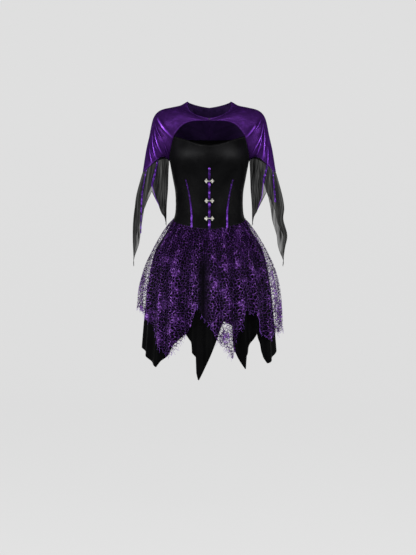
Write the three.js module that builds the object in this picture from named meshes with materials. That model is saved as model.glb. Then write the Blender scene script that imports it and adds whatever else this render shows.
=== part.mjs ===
// Witch costume for an adult, shaped as worn: a black bodice with a pointed waist, a purple yoke cut in one
// with its cap sleeves, sheer black sleeve falls with pointed hems, and a net skirt over a black satin one.
//
// Millimetres. X is the wearer's left, Y the back and Z up. The origin is the middle of the neck opening,
// level with the points where the shoulder seams meet it. "down" is a distance below the origin. An angle
// round the body is 0 at centre front, 90 at the wearer's left side seam and 180 at centre back. Round an arm
// it is 0 in front, 90 on the outside, 180 behind and -90 or 270 at the underarm.
import * as THREE from "three";

const seamGap = 0.3; // between two pieces that are sewn together
const hemDrop = 1; // from the hem of a cap sleeve down to its sleeve fall
const halfGap = 0.2; // from a seam's middle plane to either piece
const cloth = { jersey: 1.2, foil: 1.2, satin: 1.2, net: 1, chiffon: 1 }; // wall thicknesses
const bustHeight = 182; // how far down the fullest part of the bust is
const waistAtSide = 382;
const waistDip = 43; // how far the waist seam drops from the side seam to centre front
const cornerAngle = 55; // where the neckline of the bodice ends and its armhole begins
const backSeamDown = 118; // the level seam between the bodice back and the yoke

// Level sections of the bodice: half width, and depth in front of and behind the side seams.
const bodyRings = [
  { down: 60, side: 138, front: 74, back: 84 },
  { down: 100, side: 140, front: 80, back: 96 },
  { down: 140, side: 136, front: 88, back: 98 },
  { down: 190, side: 129.5, front: 92, back: 96 },
  { down: 248, side: 119, front: 90, back: 89 },
  { down: 292, side: 111, front: 86, back: 84 },
  { down: 333, side: 109, front: 84, back: 82 },
  { down: 364, side: 111, front: 86, back: 86 },
  { down: 385, side: 117, front: 90, back: 92 },
  { down: 430, side: 133, front: 99, back: 102 },
];
const bust = { apex: 80, fullness: 44, centre: 0.45, width: 40, height: 48 };

// Top edges of the bodice, by angle from centre front and from centre back: a neckline, then an armhole.
const frontTop = [
  { angle: 0, down: 150 },
  { angle: 12, down: 147.5 },
  { angle: 23, down: 140 },
  { angle: 36, down: 129 },
  { angle: 46, down: 122 },
  { angle: cornerAngle, down: 117 },
  { angle: 61, down: 137 },
  { angle: 68, down: 159 },
  { angle: 76, down: 177 },
  { angle: 84, down: 188 },
  { angle: 90, down: 192 },
];
const backTop = [
  { angle: 0, down: backSeamDown },
  { angle: cornerAngle, down: backSeamDown },
  { angle: 62, down: 140 },
  { angle: 68, down: 160 },
  { angle: 76, down: 178 },
  { angle: 84, down: 188 },
  { angle: 90, down: 192 },
];

// The shoulder seam and the seam down the outside of the arm, from the neck to the hem of the cap sleeve.
const shoulderLine = [
  { u: 0, x: 70, y: 15, down: -2 },
  { u: 0.03, x: 75, y: 15, down: 0 },
  { u: 0.12, x: 95, y: 14, down: 11 },
  { u: 0.22, x: 123, y: 11, down: 18 },
  { u: 0.34, x: 157, y: 7, down: 27 },
  { u: 0.42, x: 174, y: 5, down: 40 },
  { u: 0.52, x: 185, y: 3, down: 62 },
  { u: 0.68, x: 195, y: 1, down: 111 },
  { u: 0.84, x: 206, y: 0, down: 160 },
  { u: 1, x: 217, y: 0, down: 229 },
];
const cornerAt = 0.45; // the u at which the yoke's lower edge reaches the corner of the bodice
const hookAt = 0.03; // the u at the lower end of the short edge that is hooked at centre front
const centreBackAt = 0.15; // the u at the lower end of the centre back seam

// The lower edge of a yoke front, from the hook at centre front round the opening over the chest.
const keyhole = [
  { u: 0, x: halfGap, y: -67, down: 60 },
  { u: hookAt, x: halfGap, y: -68, down: 67 },
  { u: 0.07, x: 12, y: -69, down: 68.5 },
  { u: 0.14, x: 36, y: -69.5, down: 69 },
  { u: 0.21, x: 57, y: -68.5, down: 71.5 },
  { u: 0.29, x: 79, y: -65, down: 79 },
  { u: 0.38, x: 99, y: -61, down: 96 },
];
const centreBack = [
  { u: 0, x: halfGap, y: 60, down: 14 },
  { u: 0.05, x: halfGap, y: 69, down: 40 },
  { u: 0.1, x: halfGap, y: 84, down: 78 },
];

// Each section of the yoke is an arc from the shoulder line to the lower edge. The first three columns lead
// away from the shoulder line, and the last three lead into the lower edge from outside.
const frontArcs = [
  { u: 0, outTop: 8, awayTop: 35, sinkTop: 34, outLow: 44, awayLow: -6, riseLow: 6 },
  { u: 0.03, outTop: 6, awayTop: 38, sinkTop: 28, outLow: 46, awayLow: -4, riseLow: 8 },
  { u: 0.12, outTop: 2, awayTop: 45, sinkTop: 10, outLow: 34, awayLow: 2, riseLow: 18 },
  { u: 0.22, outTop: -4, awayTop: 48, sinkTop: 2, outLow: 26, awayLow: 4, riseLow: 26 },
  { u: 0.34, outTop: -2, awayTop: 46, sinkTop: 2, outLow: 28, awayLow: 6, riseLow: 26 },
  { u: 0.42, outTop: 2, awayTop: 43, sinkTop: 6, outLow: 34, awayLow: 10, riseLow: 20 },
  { u: 0.52, outTop: 1, awayTop: 40, sinkTop: 9, outLow: 34, awayLow: 16, riseLow: 20 },
  { u: 0.68, outTop: 2, awayTop: 46, sinkTop: 4, outLow: 24, awayLow: 31, riseLow: 18 },
  { u: 0.84, outTop: -2, awayTop: 52, sinkTop: 2, outLow: 17, awayLow: 42, riseLow: 21 },
  { u: 1, outTop: -10, awayTop: 56, sinkTop: 12, outLow: 18, awayLow: 56, riseLow: 46 },
];
const backArcs = [
  { u: 0, outTop: 2, awayTop: 27, sinkTop: 2, outLow: 35, awayLow: 0, riseLow: 4 },
  { u: 0.05, outTop: 2, awayTop: 34, sinkTop: 2, outLow: 40, awayLow: 0, riseLow: 20 },
  { u: 0.15, outTop: 0, awayTop: 50, sinkTop: 4, outLow: 34, awayLow: 2, riseLow: 56 },
  { u: 0.3, outTop: -2, awayTop: 54, sinkTop: 4, outLow: 26, awayLow: 5, riseLow: 50 },
  { u: 0.45, outTop: 2, awayTop: 48, sinkTop: 8, outLow: 30, awayLow: 11, riseLow: 34 },
  { u: 0.52, outTop: 1, awayTop: 43, sinkTop: 9, outLow: 33, awayLow: 18, riseLow: 24 },
  { u: 0.68, outTop: 2, awayTop: 46, sinkTop: 4, outLow: 24, awayLow: 31, riseLow: 18 },
  { u: 0.84, outTop: -2, awayTop: 52, sinkTop: 2, outLow: 17, awayLow: 42, riseLow: 21 },
  { u: 1, outTop: -10, awayTop: 56, sinkTop: -10, outLow: 18, awayLow: 56, riseLow: 34 },
];

// Creases of the cap sleeve, as ridges from the shoulder (v 0) towards the underarm (v 1).
const creases = [
  { u: 0.4, v: 0.3, toU: 0.5, toV: 0.95, height: 3.2, width: 0.035 },
  { u: 0.46, v: 0.28, toU: 0.68, toV: 0.88, height: 3.4, width: 0.035 },
  { u: 0.54, v: 0.26, toU: 0.84, toV: 0.8, height: 3.6, width: 0.038 },
  { u: 0.62, v: 0.24, toU: 0.97, toV: 0.62, height: 3.2, width: 0.04 },
  { u: 0.72, v: 0.16, toU: 0.99, toV: 0.34, height: 2.4, width: 0.04 },
];

// Level sections of the sleeve falls: the middle of the arm, and half widths sideways and front to back.
const armRings = [
  { down: 160, x: 168, side: 37, depth: 42 },
  { down: 190, x: 170, side: 39, depth: 43 },
  { down: 224, x: 174.5, side: 41.5, depth: 45 },
  { down: 286, x: 183, side: 48, depth: 50 },
  { down: 322, x: 187, side: 50, depth: 51 },
  { down: 403, x: 191, side: 53, depth: 52 },
  { down: 540, x: 195, side: 54, depth: 52 },
];
// The pointed hem of each sleeve fall, round the arm.
const fallHem = {
  left: [
    { angle: -90, down: 396 },
    { angle: -78, down: 404 },
    { angle: -44, down: 362 },
    { angle: -20, down: 312 },
    { angle: -8, down: 264 },
    { angle: 5, down: 316 },
    { angle: 14, down: 390 },
    { angle: 31, down: 462 },
    { angle: 60, down: 516 },
    { angle: 77, down: 536 },
    { angle: 98, down: 500 },
    { angle: 130, down: 402 },
    { angle: 174, down: 290 },
    { angle: 215, down: 346 },
    { angle: 252, down: 400 },
    { angle: 270, down: 396 },
  ],
  right: [
    { angle: -90, down: 396 },
    { angle: -78, down: 404 },
    { angle: -44, down: 367 },
    { angle: -12, down: 307 },
    { angle: 4, down: 274 },
    { angle: 17, down: 316 },
    { angle: 28, down: 388 },
    { angle: 43, down: 462 },
    { angle: 62, down: 516 },
    { angle: 77, down: 536 },
    { angle: 98, down: 500 },
    { angle: 130, down: 402 },
    { angle: 174, down: 290 },
    { angle: 215, down: 346 },
    { angle: 252, down: 400 },
    { angle: 270, down: 396 },
  ],
};
// Where the two seams in front of each arm run.
const fallSeams = {
  left: [
    { down: 160, front: 22, outer: 60 },
    { down: 212, front: 14, outer: 54 },
    { down: 237, front: 2, outer: 46 },
    { down: 264, front: -8, outer: 34 },
    { down: 330, front: -9, outer: 27 },
    { down: 540, front: -9, outer: 26 },
  ],
  right: [
    { down: 160, front: -24, outer: 60 },
    { down: 190, front: -18, outer: 54 },
    { down: 225, front: -8, outer: 47 },
    { down: 270, front: 2, outer: 38 },
    { down: 335, front: 3, outer: 34 },
    { down: 540, front: 4, outer: 33 },
  ],
};
// How far each sleeve fall swings out from the arm on its way down.
const sway = {
  left: [
    { down: 160, out: 0 },
    { down: 300, out: 2 },
    { down: 345, out: 3 },
    { down: 383, out: -5 },
    { down: 436, out: 5 },
    { down: 475, out: -2 },
    { down: 540, out: -9 },
  ],
  right: [
    { down: 160, out: 0 },
    { down: 300, out: 2 },
    { down: 403, out: 1 },
    { down: 540, out: -2 },
  ],
};

// Level sections of the two skirts.
const underRings = [
  { down: 382, side: 116, front: 89, back: 91.5 },
  { down: 430, side: 143, front: 101, back: 106 },
  { down: 484, side: 175, front: 128, back: 130 },
  { down: 582, side: 196, front: 158, back: 160 },
  { down: 679, side: 207, front: 178, back: 180 },
  { down: 793, side: 216, front: 194, back: 196 },
  { down: 910, side: 225, front: 205, back: 206 },
];
const netRings = [
  { down: 382, side: 118, front: 91, back: 93.5 },
  { down: 400, side: 133, front: 97, back: 105 },
  { down: 432, side: 156, front: 112, back: 126 },
  { down: 474, side: 180, front: 142, back: 148 },
  { down: 526, side: 205, front: 168, back: 172 },
  { down: 569, side: 219, front: 184, back: 187 },
  { down: 614, side: 228, front: 195, back: 197 },
  { down: 679, side: 233, front: 203, back: 204 },
  { down: 754, side: 235, front: 208, back: 208 },
  { down: 860, side: 235, front: 212, back: 212 },
];
// Pointed hems of the skirts, from one side seam to the other. The back is cut the same as the front.
const underHem = [
  { angle: -90, down: 788 },
  { angle: -79, down: 802 },
  { angle: -61, down: 834 },
  { angle: -48.4, down: 856 },
  { angle: -45.5, down: 836 },
  { angle: -30, down: 780 },
  { angle: -22.2, down: 749 },
  { angle: -14.9, down: 775 },
  { angle: -14.3, down: 807 },
  { angle: -10.8, down: 821 },
  { angle: -10.3, down: 870 },
  { angle: -8.8, down: 896 },
  { angle: 0.6, down: 820 },
  { angle: 6.4, down: 767 },
  { angle: 13.1, down: 710 },
  { angle: 21.9, down: 729 },
  { angle: 23, down: 806 },
  { angle: 30.1, down: 863 },
  { angle: 31.3, down: 819 },
  { angle: 42, down: 769 },
  { angle: 46.2, down: 741 },
  { angle: 49.3, down: 771 },
  { angle: 53, down: 789 },
  { angle: 54.2, down: 822 },
  { angle: 57.5, down: 846 },
  { angle: 74, down: 821 },
  { angle: 90, down: 788 },
];
const netHem = [
  { angle: -90, down: 670 },
  { angle: -73, down: 674 },
  { angle: -64, down: 692 },
  { angle: -57.9, down: 703 },
  { angle: -50, down: 745 },
  { angle: -43.3, down: 791 },
  { angle: -37.2, down: 812 },
  { angle: -32.3, down: 829 },
  { angle: -22, down: 762 },
  { angle: -14.1, down: 725 },
  { angle: -9.4, down: 659 },
  { angle: -5.8, down: 698 },
  { angle: 1.2, down: 724 },
  { angle: 5, down: 766 },
  { angle: 12.9, down: 803 },
  { angle: 18.8, down: 829 },
  { angle: 20.9, down: 800 },
  { angle: 25, down: 731 },
  { angle: 31, down: 671 },
  { angle: 37.5, down: 680 },
  { angle: 45.3, down: 735 },
  { angle: 56.9, down: 777 },
  { angle: 66.7, down: 745 },
  { angle: 76.4, down: 756 },
  { angle: 90, down: 716 },
];
// Folds of the skirts: how far each crest stands out at the hem, and how far the cloth falls in before the
// next one.
const underFolds = [
  { angle: -82, crest: 3, valley: 8 },
  { angle: -66, crest: 4, valley: 8 },
  { angle: -50, crest: 6, valley: 22 },
  { angle: -31, crest: 3, valley: 19 },
  { angle: -12.5, crest: 8, valley: 18 },
  { angle: 4, crest: 3, valley: 22 },
  { angle: 19, crest: 3, valley: 14 },
  { angle: 31, crest: 7, valley: 19 },
  { angle: 46, crest: 3, valley: 14 },
  { angle: 61, crest: 6, valley: 9 },
  { angle: 79, crest: 3, valley: 10 },
];
const netFolds = [
  { angle: -84, crest: 5, valley: 20 },
  { angle: -72, crest: 4, valley: 17 },
  { angle: -58, crest: 5, valley: 22 },
  { angle: -44, crest: 3, valley: 15 },
  { angle: -31, crest: 6, valley: 29 },
  { angle: -12, crest: 5, valley: 32 },
  { angle: 4, crest: 6, valley: 15 },
  { angle: 14, crest: 5, valley: 27 },
  { angle: 27, crest: 3, valley: 17 },
  { angle: 40, crest: 6, valley: 27 },
  { angle: 56, crest: 4, valley: 19 },
  { angle: 69, crest: 4, valley: 17 },
  { angle: 82, crest: 5, valley: 20 },
];
const gathers = { spacing: 3.6, depth: 1.5, reach: 80 }; // fine gathers of the net under the waist seam
const layerRoom = { top: 1.6, low: 3.6 }; // the least room from the face of one skirt to the face of the next

const ribbon = {
  rise: 1,
  lift: 0.5, // from the bodice to the flat back of the ribbon
  sleeveLift: 0.8,
  centreWidth: 8.3,
  dartWidth: 6.5,
  sleeveWidth: 6,
  sleeveStep: 5, // the least way from one spot of a sleeve's ribbon to the next
  centreStart: 3.75, // the row of the bodice at which it begins
  dartStart: 6,
  scallop: 9, // from one swelling to the next
};
const dartLine = { topAngle: 40.3, lowAngle: 26.5 };
const bodiceRows = 14;
const sleeveRibbons = {
  left: { frontEnd: 286, outerEnd: 330 },
  right: { frontEnd: 286, outerEnd: 430 },
};

// Clasps: how far down each is, and how far the middle of each half is from centre front.
const clasp = {
  upper: 264,
  middle: 327,
  lower: 384,
  offset: 9.3,
  radius: 7.2,
  slim: 0.82,
  tilt: 8,
  clearance: 1.1,
};
const claspFace = [
  { share: 0.96, height: 1.6 },
  { share: 0.6, height: 1.1 },
  { share: 0.34, height: 2.2 },
];
const neckHook = { width: 7, height: 4, thickness: 0.8, corner: 1.4, down: 63.5 };

const materials = {
  jersey: new THREE.MeshStandardMaterial({ color: 0x111113, roughness: 0.8, metalness: 0 }),
  foil: new THREE.MeshStandardMaterial({ color: 0x3d1668, roughness: 0.4, metalness: 0.35 }),
  satin: new THREE.MeshStandardMaterial({ color: 0x0e0e10, roughness: 0.5, metalness: 0 }),
  net: new THREE.MeshStandardMaterial({ color: 0x4c2580, roughness: 0.5, metalness: 0.2 }),
  chiffon: new THREE.MeshStandardMaterial({ color: 0x2c2c2c, roughness: 0.7, metalness: 0 }),
  ribbon: new THREE.MeshStandardMaterial({ color: 0x6b2bb5, roughness: 0.35, metalness: 0.4 }),
  silver: new THREE.MeshStandardMaterial({ color: 0xc4c2b6, roughness: 0.35, metalness: 0.9 }),
  hook: new THREE.MeshStandardMaterial({ color: 0x1c1422, roughness: 0.4, metalness: 0.6 }),
};

const costume = new THREE.Group();

const radians = (degrees) => (degrees * Math.PI) / 180;
const mix = (a, b, share) => a + (b - a) * share;
const clamp = (value, low, high) => Math.min(Math.max(value, low), high);
const ease = (share) => share * share * (3 - 2 * share);

// Reads every column of a table at a place between its rows, on a curve through them or in straight lines.
function read(table, key, at, straight = false) {
  const end = table.length - 1;
  const place = clamp(at, table[0][key], table[end][key]);
  let i = 0;
  while (i < end - 1 && table[i + 1][key] < place) i++;
  const [before, a, b, after] = [i - 1, i, i + 1, i + 2].map((k) => table[clamp(k, 0, end)]);
  const span = b[key] - a[key];
  const t = (place - a[key]) / span;
  const values = {};
  for (const name of Object.keys(a)) {
    const slopeA = ((b[name] - before[name]) / (b[key] - before[key])) * span;
    const slopeB = ((after[name] - a[name]) / (after[key] - a[key])) * span;
    values[name] = straight
      ? mix(a[name], b[name], t)
      : mix(a[name], b[name], ease(t)) + t * (1 - t) * (slopeA * (1 - t) - slopeB * t);
  }
  return values;
}

// The outward normal of a surface, from its slopes along both parameters. Facing is 1 or -1.
function normalOf(surface, a, b, stepA, stepB, facing) {
  const alongA = surface(a + stepA, b).sub(surface(a - stepA, b));
  const alongB = surface(a, b + stepB).sub(surface(a, b - stepB));
  return alongA.cross(alongB).multiplyScalar(facing).normalize();
}

// A closed body from two matching grids of points, an outer and an inner face, joined along their four edges.
function closedBetween(outer, inner) {
  const rows = outer.length;
  const columns = outer[0].length;
  const points = [...outer.flat(), ...inner.flat()];
  const at = (face, i, j) => face * rows * columns + i * columns + j;
  const index = [];
  const quad = (a, b, c, d) => index.push(a, b, c, a, c, d);
  for (let i = 0; i < rows - 1; i++) {
    for (let j = 0; j < columns - 1; j++) {
      quad(at(0, i, j), at(0, i, j + 1), at(0, i + 1, j + 1), at(0, i + 1, j));
      quad(at(1, i, j), at(1, i + 1, j), at(1, i + 1, j + 1), at(1, i, j + 1));
    }
    quad(at(0, i, 0), at(0, i + 1, 0), at(1, i + 1, 0), at(1, i, 0));
    quad(at(0, i, columns - 1), at(1, i, columns - 1), at(1, i + 1, columns - 1), at(0, i + 1, columns - 1));
  }
  for (let j = 0; j < columns - 1; j++) {
    quad(at(0, 0, j), at(1, 0, j), at(1, 0, j + 1), at(0, 0, j + 1));
    quad(at(0, rows - 1, j), at(0, rows - 1, j + 1), at(1, rows - 1, j + 1), at(1, rows - 1, j));
  }
  return facingOut(points, index);
}

// A geometry from points and triangles, with the triangles turned round if they enclose a negative volume.
function facingOut(points, index) {
  let volume = 0;
  for (let i = 0; i < index.length; i += 3) {
    const [a, b, c] = [points[index[i]], points[index[i + 1]], points[index[i + 2]]];
    volume += a.dot(b.clone().cross(c));
  }
  const geometry = new THREE.BufferGeometry().setFromPoints(points);
  geometry.setIndex(volume < 0 ? index.reverse() : index);
  geometry.computeVertexNormals();
  return geometry;
}

function add(name, geometry, material) {
  const mesh = new THREE.Mesh(geometry, material);
  mesh.name = name;
  costume.add(mesh);
}

// A wall of cloth over a grid of spots, each a point of the outer face with its normal. Trim, where it is
// given, keeps both faces on their own side of a seam.
function clothWall(grid, thickness, trim = (point) => point) {
  const sunk = ({ point, normal }, depth) => trim(point.clone().addScaledVector(normal, -depth));
  const face = (depth) => grid.map((row) => row.map((spot) => sunk(spot, depth)));
  return closedBetween(face(0), face(thickness));
}

// Column places from a table's own rows, with more between them so that no step is longer than the longest.
function columnsAt(places, longest) {
  const columns = [places[0]];
  for (let i = 1; i < places.length; i++) {
    const span = places[i] - places[i - 1];
    const steps = Math.max(1, Math.ceil(Math.abs(span) / longest));
    for (let k = 1; k <= steps; k++) columns.push(places[i - 1] + (span * k) / steps);
  }
  return columns;
}

// A grid of spots on a surface of (angle, down), from a top edge to a lower one.
function hangingGrid(surface, facing, columns, rows, topAt, lowAt) {
  const grid = [];
  for (let i = 0; i <= rows; i++) {
    grid.push(
      columns.map((angle) => {
        const down = mix(topAt(angle), lowAt(angle), i / rows);
        return { point: surface(angle, down), normal: normalOf(surface, angle, down, 0.4, 1.5, facing) };
      }),
    );
  }
  return grid;
}

// A spot on a finished panel, between the four grid spots round it.
function onPanel({ columns, grid }, angle, share) {
  let j = 0;
  while (j < columns.length - 2 && columns[j + 1] < angle) j++;
  const across = (angle - columns[j]) / (columns[j + 1] - columns[j]);
  const place = share * (grid.length - 1);
  const i = Math.min(Math.floor(place), grid.length - 2);
  const between = (key, row) => row[j][key].clone().lerp(row[j + 1][key], across);
  const spotAt = (key) => between(key, grid[i]).lerp(between(key, grid[i + 1]), place - i);
  return { point: spotAt("point"), normal: spotAt("normal").normalize() };
}

// A piece of one half of the costume stays in front of the side seams, or behind them.
const inFront = (point) => point.setY(Math.min(point.y, -halfGap));
const behind = (point) => point.setY(Math.max(point.y, halfGap));
const behindUnderarm = (point) => (Math.abs(point.x) < 160 ? behind(point) : point);

// The bodice and everything sewn on its face.

// How far the bust stands out of the plain section: full at each apex, bridged between them, and soft to the
// sides.
function bustAt(x, down) {
  const beyond = Math.abs(x) - bust.apex;
  const bridge = mix(1, bust.centre, ease(clamp(-beyond / bust.apex, 0, 1)));
  const across = beyond > 0 ? Math.exp(-((beyond / bust.width) ** 2)) : bridge;
  return bust.fullness * across * Math.exp(-(((down - bustHeight) / bust.height) ** 2));
}

function bodyPoint(angle, down) {
  const ring = read(bodyRings, "down", down);
  const turn = radians(angle);
  const x = ring.side * Math.sin(turn);
  const facesFront = Math.cos(turn) > 0;
  const y = -(facesFront ? ring.front : ring.back) * Math.cos(turn);
  return new THREE.Vector3(x, y - (facesFront ? bustAt(x, down) * Math.cos(turn) ** 0.5 : 0), -down);
}
const bodyNormal = (angle, down) => normalOf(bodyPoint, angle, down, 0.4, 1.5, -1);
const onBody = (angle, down, lift) => bodyPoint(angle, down).addScaledVector(bodyNormal(angle, down), lift);

// The waist seam: level behind, and dropping to a soft point in front.
function waistAt(angle) {
  const fromFront = Math.abs(((angle + 180) % 360) - 180);
  const share = Math.max(0, 1 - fromFront / 90);
  return waistAtSide + waistDip * share * (1 - 0.12 * share ** 8);
}

function addBodice() {
  const frontEdge = frontTop.map((row) => row.angle);
  const rightEdge = frontEdge.slice(1).reverse().map((angle) => -angle);
  const frontColumns = columnsAt([...rightEdge, ...frontEdge], 9);
  const frontAt = (angle) => read(frontTop, "angle", Math.abs(angle), true).down;
  const front = hangingGrid(bodyPoint, -1, frontColumns, bodiceRows, frontAt, waistAt);
  add("bodice_front", clothWall(front, cloth.jersey, inFront), materials.jersey);

  const backEdge = backTop.map((row) => row.angle);
  const leftBackEdge = backEdge.slice(1).reverse().map((angle) => 180 - angle);
  const backColumns = columnsAt([...leftBackEdge, ...backEdge.map((angle) => 180 + angle)], 14);
  const backAt = (angle) => read(backTop, "angle", Math.abs(angle - 180), true).down;
  const back = hangingGrid(bodyPoint, -1, backColumns, 8, backAt, waistAt);
  add("bodice_back", clothWall(back, cloth.jersey, behind), materials.jersey);
  return { columns: frontColumns, grid: front };
}

// A domed, puffed ribbon along a path of spots, on the face that the spots lie on.
function ribbonStrip(spots, width, lift = ribbon.lift) {
  const across = [-1, 0, 1];
  const outer = [];
  const inner = [];
  let walked = 0;
  spots.forEach(({ point, normal }, i) => {
    const ahead = spots[Math.min(i + 1, spots.length - 1)].point;
    const before = spots[Math.max(i - 1, 0)].point;
    const sideways = ahead.clone().sub(before).cross(normal).normalize();
    walked += i > 0 ? point.distanceTo(spots[i - 1].point) : 0;
    const swell = 1 + 0.12 * Math.cos((2 * Math.PI * walked) / ribbon.scallop);
    const place = (share, height) =>
      point.clone().addScaledVector(sideways, (share * width * swell) / 2).addScaledVector(normal, height);
    outer.push(across.map((share) => place(share, lift + ribbon.rise * (1 - 0.6 * share ** 2))));
    inner.push(across.map((share) => place(share, lift)));
  });
  return closedBetween(outer, inner);
}

// Ribbon down the middle of the front and down each dart, on a path of spots of the panel.
function addBodiceRibbon(panel) {
  const steps = bodiceRows * 4;
  const path = (from, angleAt) => {
    const shares = Array.from({ length: steps - from }, (_, i) => (i + from) / steps);
    return shares.map((share) => onPanel(panel, angleAt((share * steps - from) / (steps - from)), share));
  };
  const centre = ribbonStrip(path(ribbon.centreStart * 4, () => 0), ribbon.centreWidth);
  add("ribbon_centre", centre, materials.ribbon);
  for (const [side, sign] of [["left", 1], ["right", -1]]) {
    const angleAt = (share) => sign * mix(dartLine.topAngle, dartLine.lowAngle, share);
    const strip = ribbonStrip(path(ribbon.dartStart * 4, angleAt), ribbon.dartWidth);
    add(`ribbon_dart_${side}`, strip, materials.ribbon);
  }
}

// Half a clasp: a four-lobed leaf with a raised rim and boss, drawn out to a short hook towards the centre.
function claspHalf() {
  const hookTurns = [-9, 0, 9];
  const turns = [];
  for (let turn = -180; turn < 180; turn += 30) {
    if (turn === 0) turns.push(...hookTurns);
    else turns.push(turn);
  }
  const reach = (turn) => {
    if (Math.abs(turn) <= 9) return clasp.offset - seamGap;
    return clasp.radius * (0.84 + 0.16 * Math.cos(radians(4 * turn)));
  };
  const ring = (share, height) =>
    turns.map((turn) => {
      const r = reach(turn) * share;
      const slim = Math.abs(turn) <= 9 ? 1 : clasp.slim;
      return new THREE.Vector3(-r * slim * Math.cos(radians(turn)), -height, r * Math.sin(radians(turn)));
    });
  const rings = [ring(1, 0), ...claspFace.map(({ share, height }) => ring(share, height))];
  const points = [...rings.flat(), new THREE.Vector3(0, 0, 0), new THREE.Vector3(0, -2.6, 0)];
  const count = turns.length;
  const [baseMiddle, faceMiddle] = [points.length - 2, points.length - 1];
  const index = [];
  for (let j = 0; j < count; j++) {
    const next = (j + 1) % count;
    index.push(baseMiddle, j, next);
    for (let i = 0; i < rings.length - 1; i++) {
      const [a, b, c, d] = [i * count + j, i * count + next, (i + 1) * count + next, (i + 1) * count + j];
      index.push(a, c, b, a, d, c);
    }
    const last = (rings.length - 1) * count;
    index.push(faceMiddle, last + next, last + j);
  }
  return facingOut(points, index);
}

function addClasps() {
  for (const level of ["upper", "middle", "lower"]) {
    const down = clasp[level];
    const slope = bodyNormal(0, down);
    for (const [side, sign] of [["left", 1], ["right", -1]]) {
      const geometry = claspHalf();
      if (sign < 0) geometry.rotateY(Math.PI);
      geometry.rotateZ(radians(sign * clasp.tilt));
      geometry.rotateX(Math.asin(-slope.z));
      const seat = bodyPoint(0, down).add(new THREE.Vector3(sign * clasp.offset, -clasp.clearance, 0));
      geometry.translate(seat.x, seat.y, seat.z);
      add(`clasp_${level}_${side}`, geometry, materials.silver);
    }
  }
}

// The yoke with its cap sleeves. Points are worked out for the wearer's left and mirrored for the right.

function lowerFrontEdge(u) {
  const corner = onBody(cornerAngle, read(frontTop, "angle", cornerAngle, true).down, seamGap + cloth.foil);
  if (u <= cornerAt) {
    const table = [...keyhole, { u: cornerAt, x: corner.x, y: corner.y, down: -corner.z }];
    const spot = read(table, "u", u);
    return new THREE.Vector3(Math.max(spot.x, halfGap), spot.y, -spot.down);
  }
  const angle = mix(cornerAngle, 90, (u - cornerAt) / (1 - cornerAt));
  return onBody(angle, read(frontTop, "angle", angle, true).down, seamGap + cloth.foil);
}

function lowerBackEdge(u) {
  const seam = (angle) => onBody(180 - angle, read(backTop, "angle", angle, true).down, seamGap + cloth.foil);
  if (u <= centreBackAt) {
    const low = seam(0);
    const table = [...centreBack, { u: centreBackAt, x: halfGap, y: low.y, down: -low.z }];
    const spot = read(table, "u", u);
    return new THREE.Vector3(halfGap, spot.y, -spot.down);
  }
  if (u <= cornerAt) {
    const spot = seam((cornerAngle * (u - centreBackAt)) / (cornerAt - centreBackAt));
    return spot.setX(Math.max(spot.x, halfGap));
  }
  return seam(mix(cornerAngle, 90, (u - cornerAt) / (1 - cornerAt)));
}

const yokeHalves = {
  front: { away: -1, lowerEdge: lowerFrontEdge, arcs: frontArcs, steps: 10 },
  back: { away: 1, lowerEdge: lowerBackEdge, arcs: backArcs, steps: 8 },
};

// A point of the yoke before it is creased: a cubic arc from the shoulder line (v 0) to the lower edge (v 1).
function plainYokePoint(half, u, v) {
  const { away, lowerEdge, arcs } = yokeHalves[half];
  const top = read(shoulderLine, "u", u);
  const arc = read(arcs, "u", u);
  const start = new THREE.Vector3(top.x, top.y + away * halfGap, -top.down);
  const end = lowerEdge(clamp(u, 0, 1));
  const leave = new THREE.Vector3(arc.outTop, away * arc.awayTop, -arc.sinkTop).add(start);
  const arrive = new THREE.Vector3(arc.outLow, away * arc.awayLow, arc.riseLow).add(end);
  return new THREE.CubicBezierCurve3(start, leave, arrive, end).getPoint(v);
}

// How far the creases lift the cloth: ridges of soft section along straight lines of (u, v).
function creaseAt(u, v) {
  let lift = 0;
  for (const { u: u0, v: v0, toU, toV, height, width } of creases) {
    const [du, dv] = [toU - u0, (toV - v0) / 2];
    const along = clamp(((u - u0) * du + ((v - v0) / 2) * dv) / (du * du + dv * dv), 0, 1);
    const off = Math.hypot(u - u0 - along * du, (v - v0) / 2 - along * dv);
    lift += height * Math.exp(-((off / width) ** 2)) * Math.sin(Math.PI * mix(0.12, 0.9, along));
  }
  return lift;
}

function yokeSpot(half, u, v) {
  const surface = (a, b) => plainYokePoint(half, clamp(a, 0, 1), clamp(b, 0, 1));
  const normal = normalOf(surface, u, v, 0.01, 0.02, yokeHalves[half].away);
  const point = surface(u, v).addScaledVector(normal, creaseAt(u, v) * Math.min(1, (1 - v) * 6));
  return { point, normal };
}

const mirrored = ({ point, normal }) => ({
  point: point.clone().setX(-point.x),
  normal: normal.clone().setX(-normal.x),
});

function addYoke() {
  const uTable = [0, hookAt, 0.07, centreBackAt, 0.3, cornerAt, 0.6, 0.8, 1];
  const sections = columnsAt(uTable, 0.075);
  const hems = {};
  for (const half of ["front", "back"]) {
    const steps = yokeHalves[half].steps;
    const shares = Array.from({ length: steps + 1 }, (_, j) => j / steps);
    // Both faces of the shoulder edge keep to their own side of the shoulder line.
    const seamed = (spot) => ({ ...spot, normal: spot.normal.clone().setY(0) });
    const left = sections.map((u) => {
      const row = shares.map((v) => yokeSpot(half, u, v));
      return [seamed(row[0]), ...row.slice(1)];
    });
    // Both faces of the centre edge keep to their own side of x = 0.
    const trim = (sign) => (point) => point.setX(sign * Math.max(sign * point.x, halfGap));
    const wall = (spots, sign) => clothWall(spots, cloth.foil, trim(sign));
    add(`yoke_${half}_left`, wall(left, 1), materials.foil);
    add(`yoke_${half}_right`, wall(left.map((row) => row.map(mirrored)), -1), materials.foil);
    hems[half] = left[left.length - 1];
  }
  return hems;
}

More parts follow.
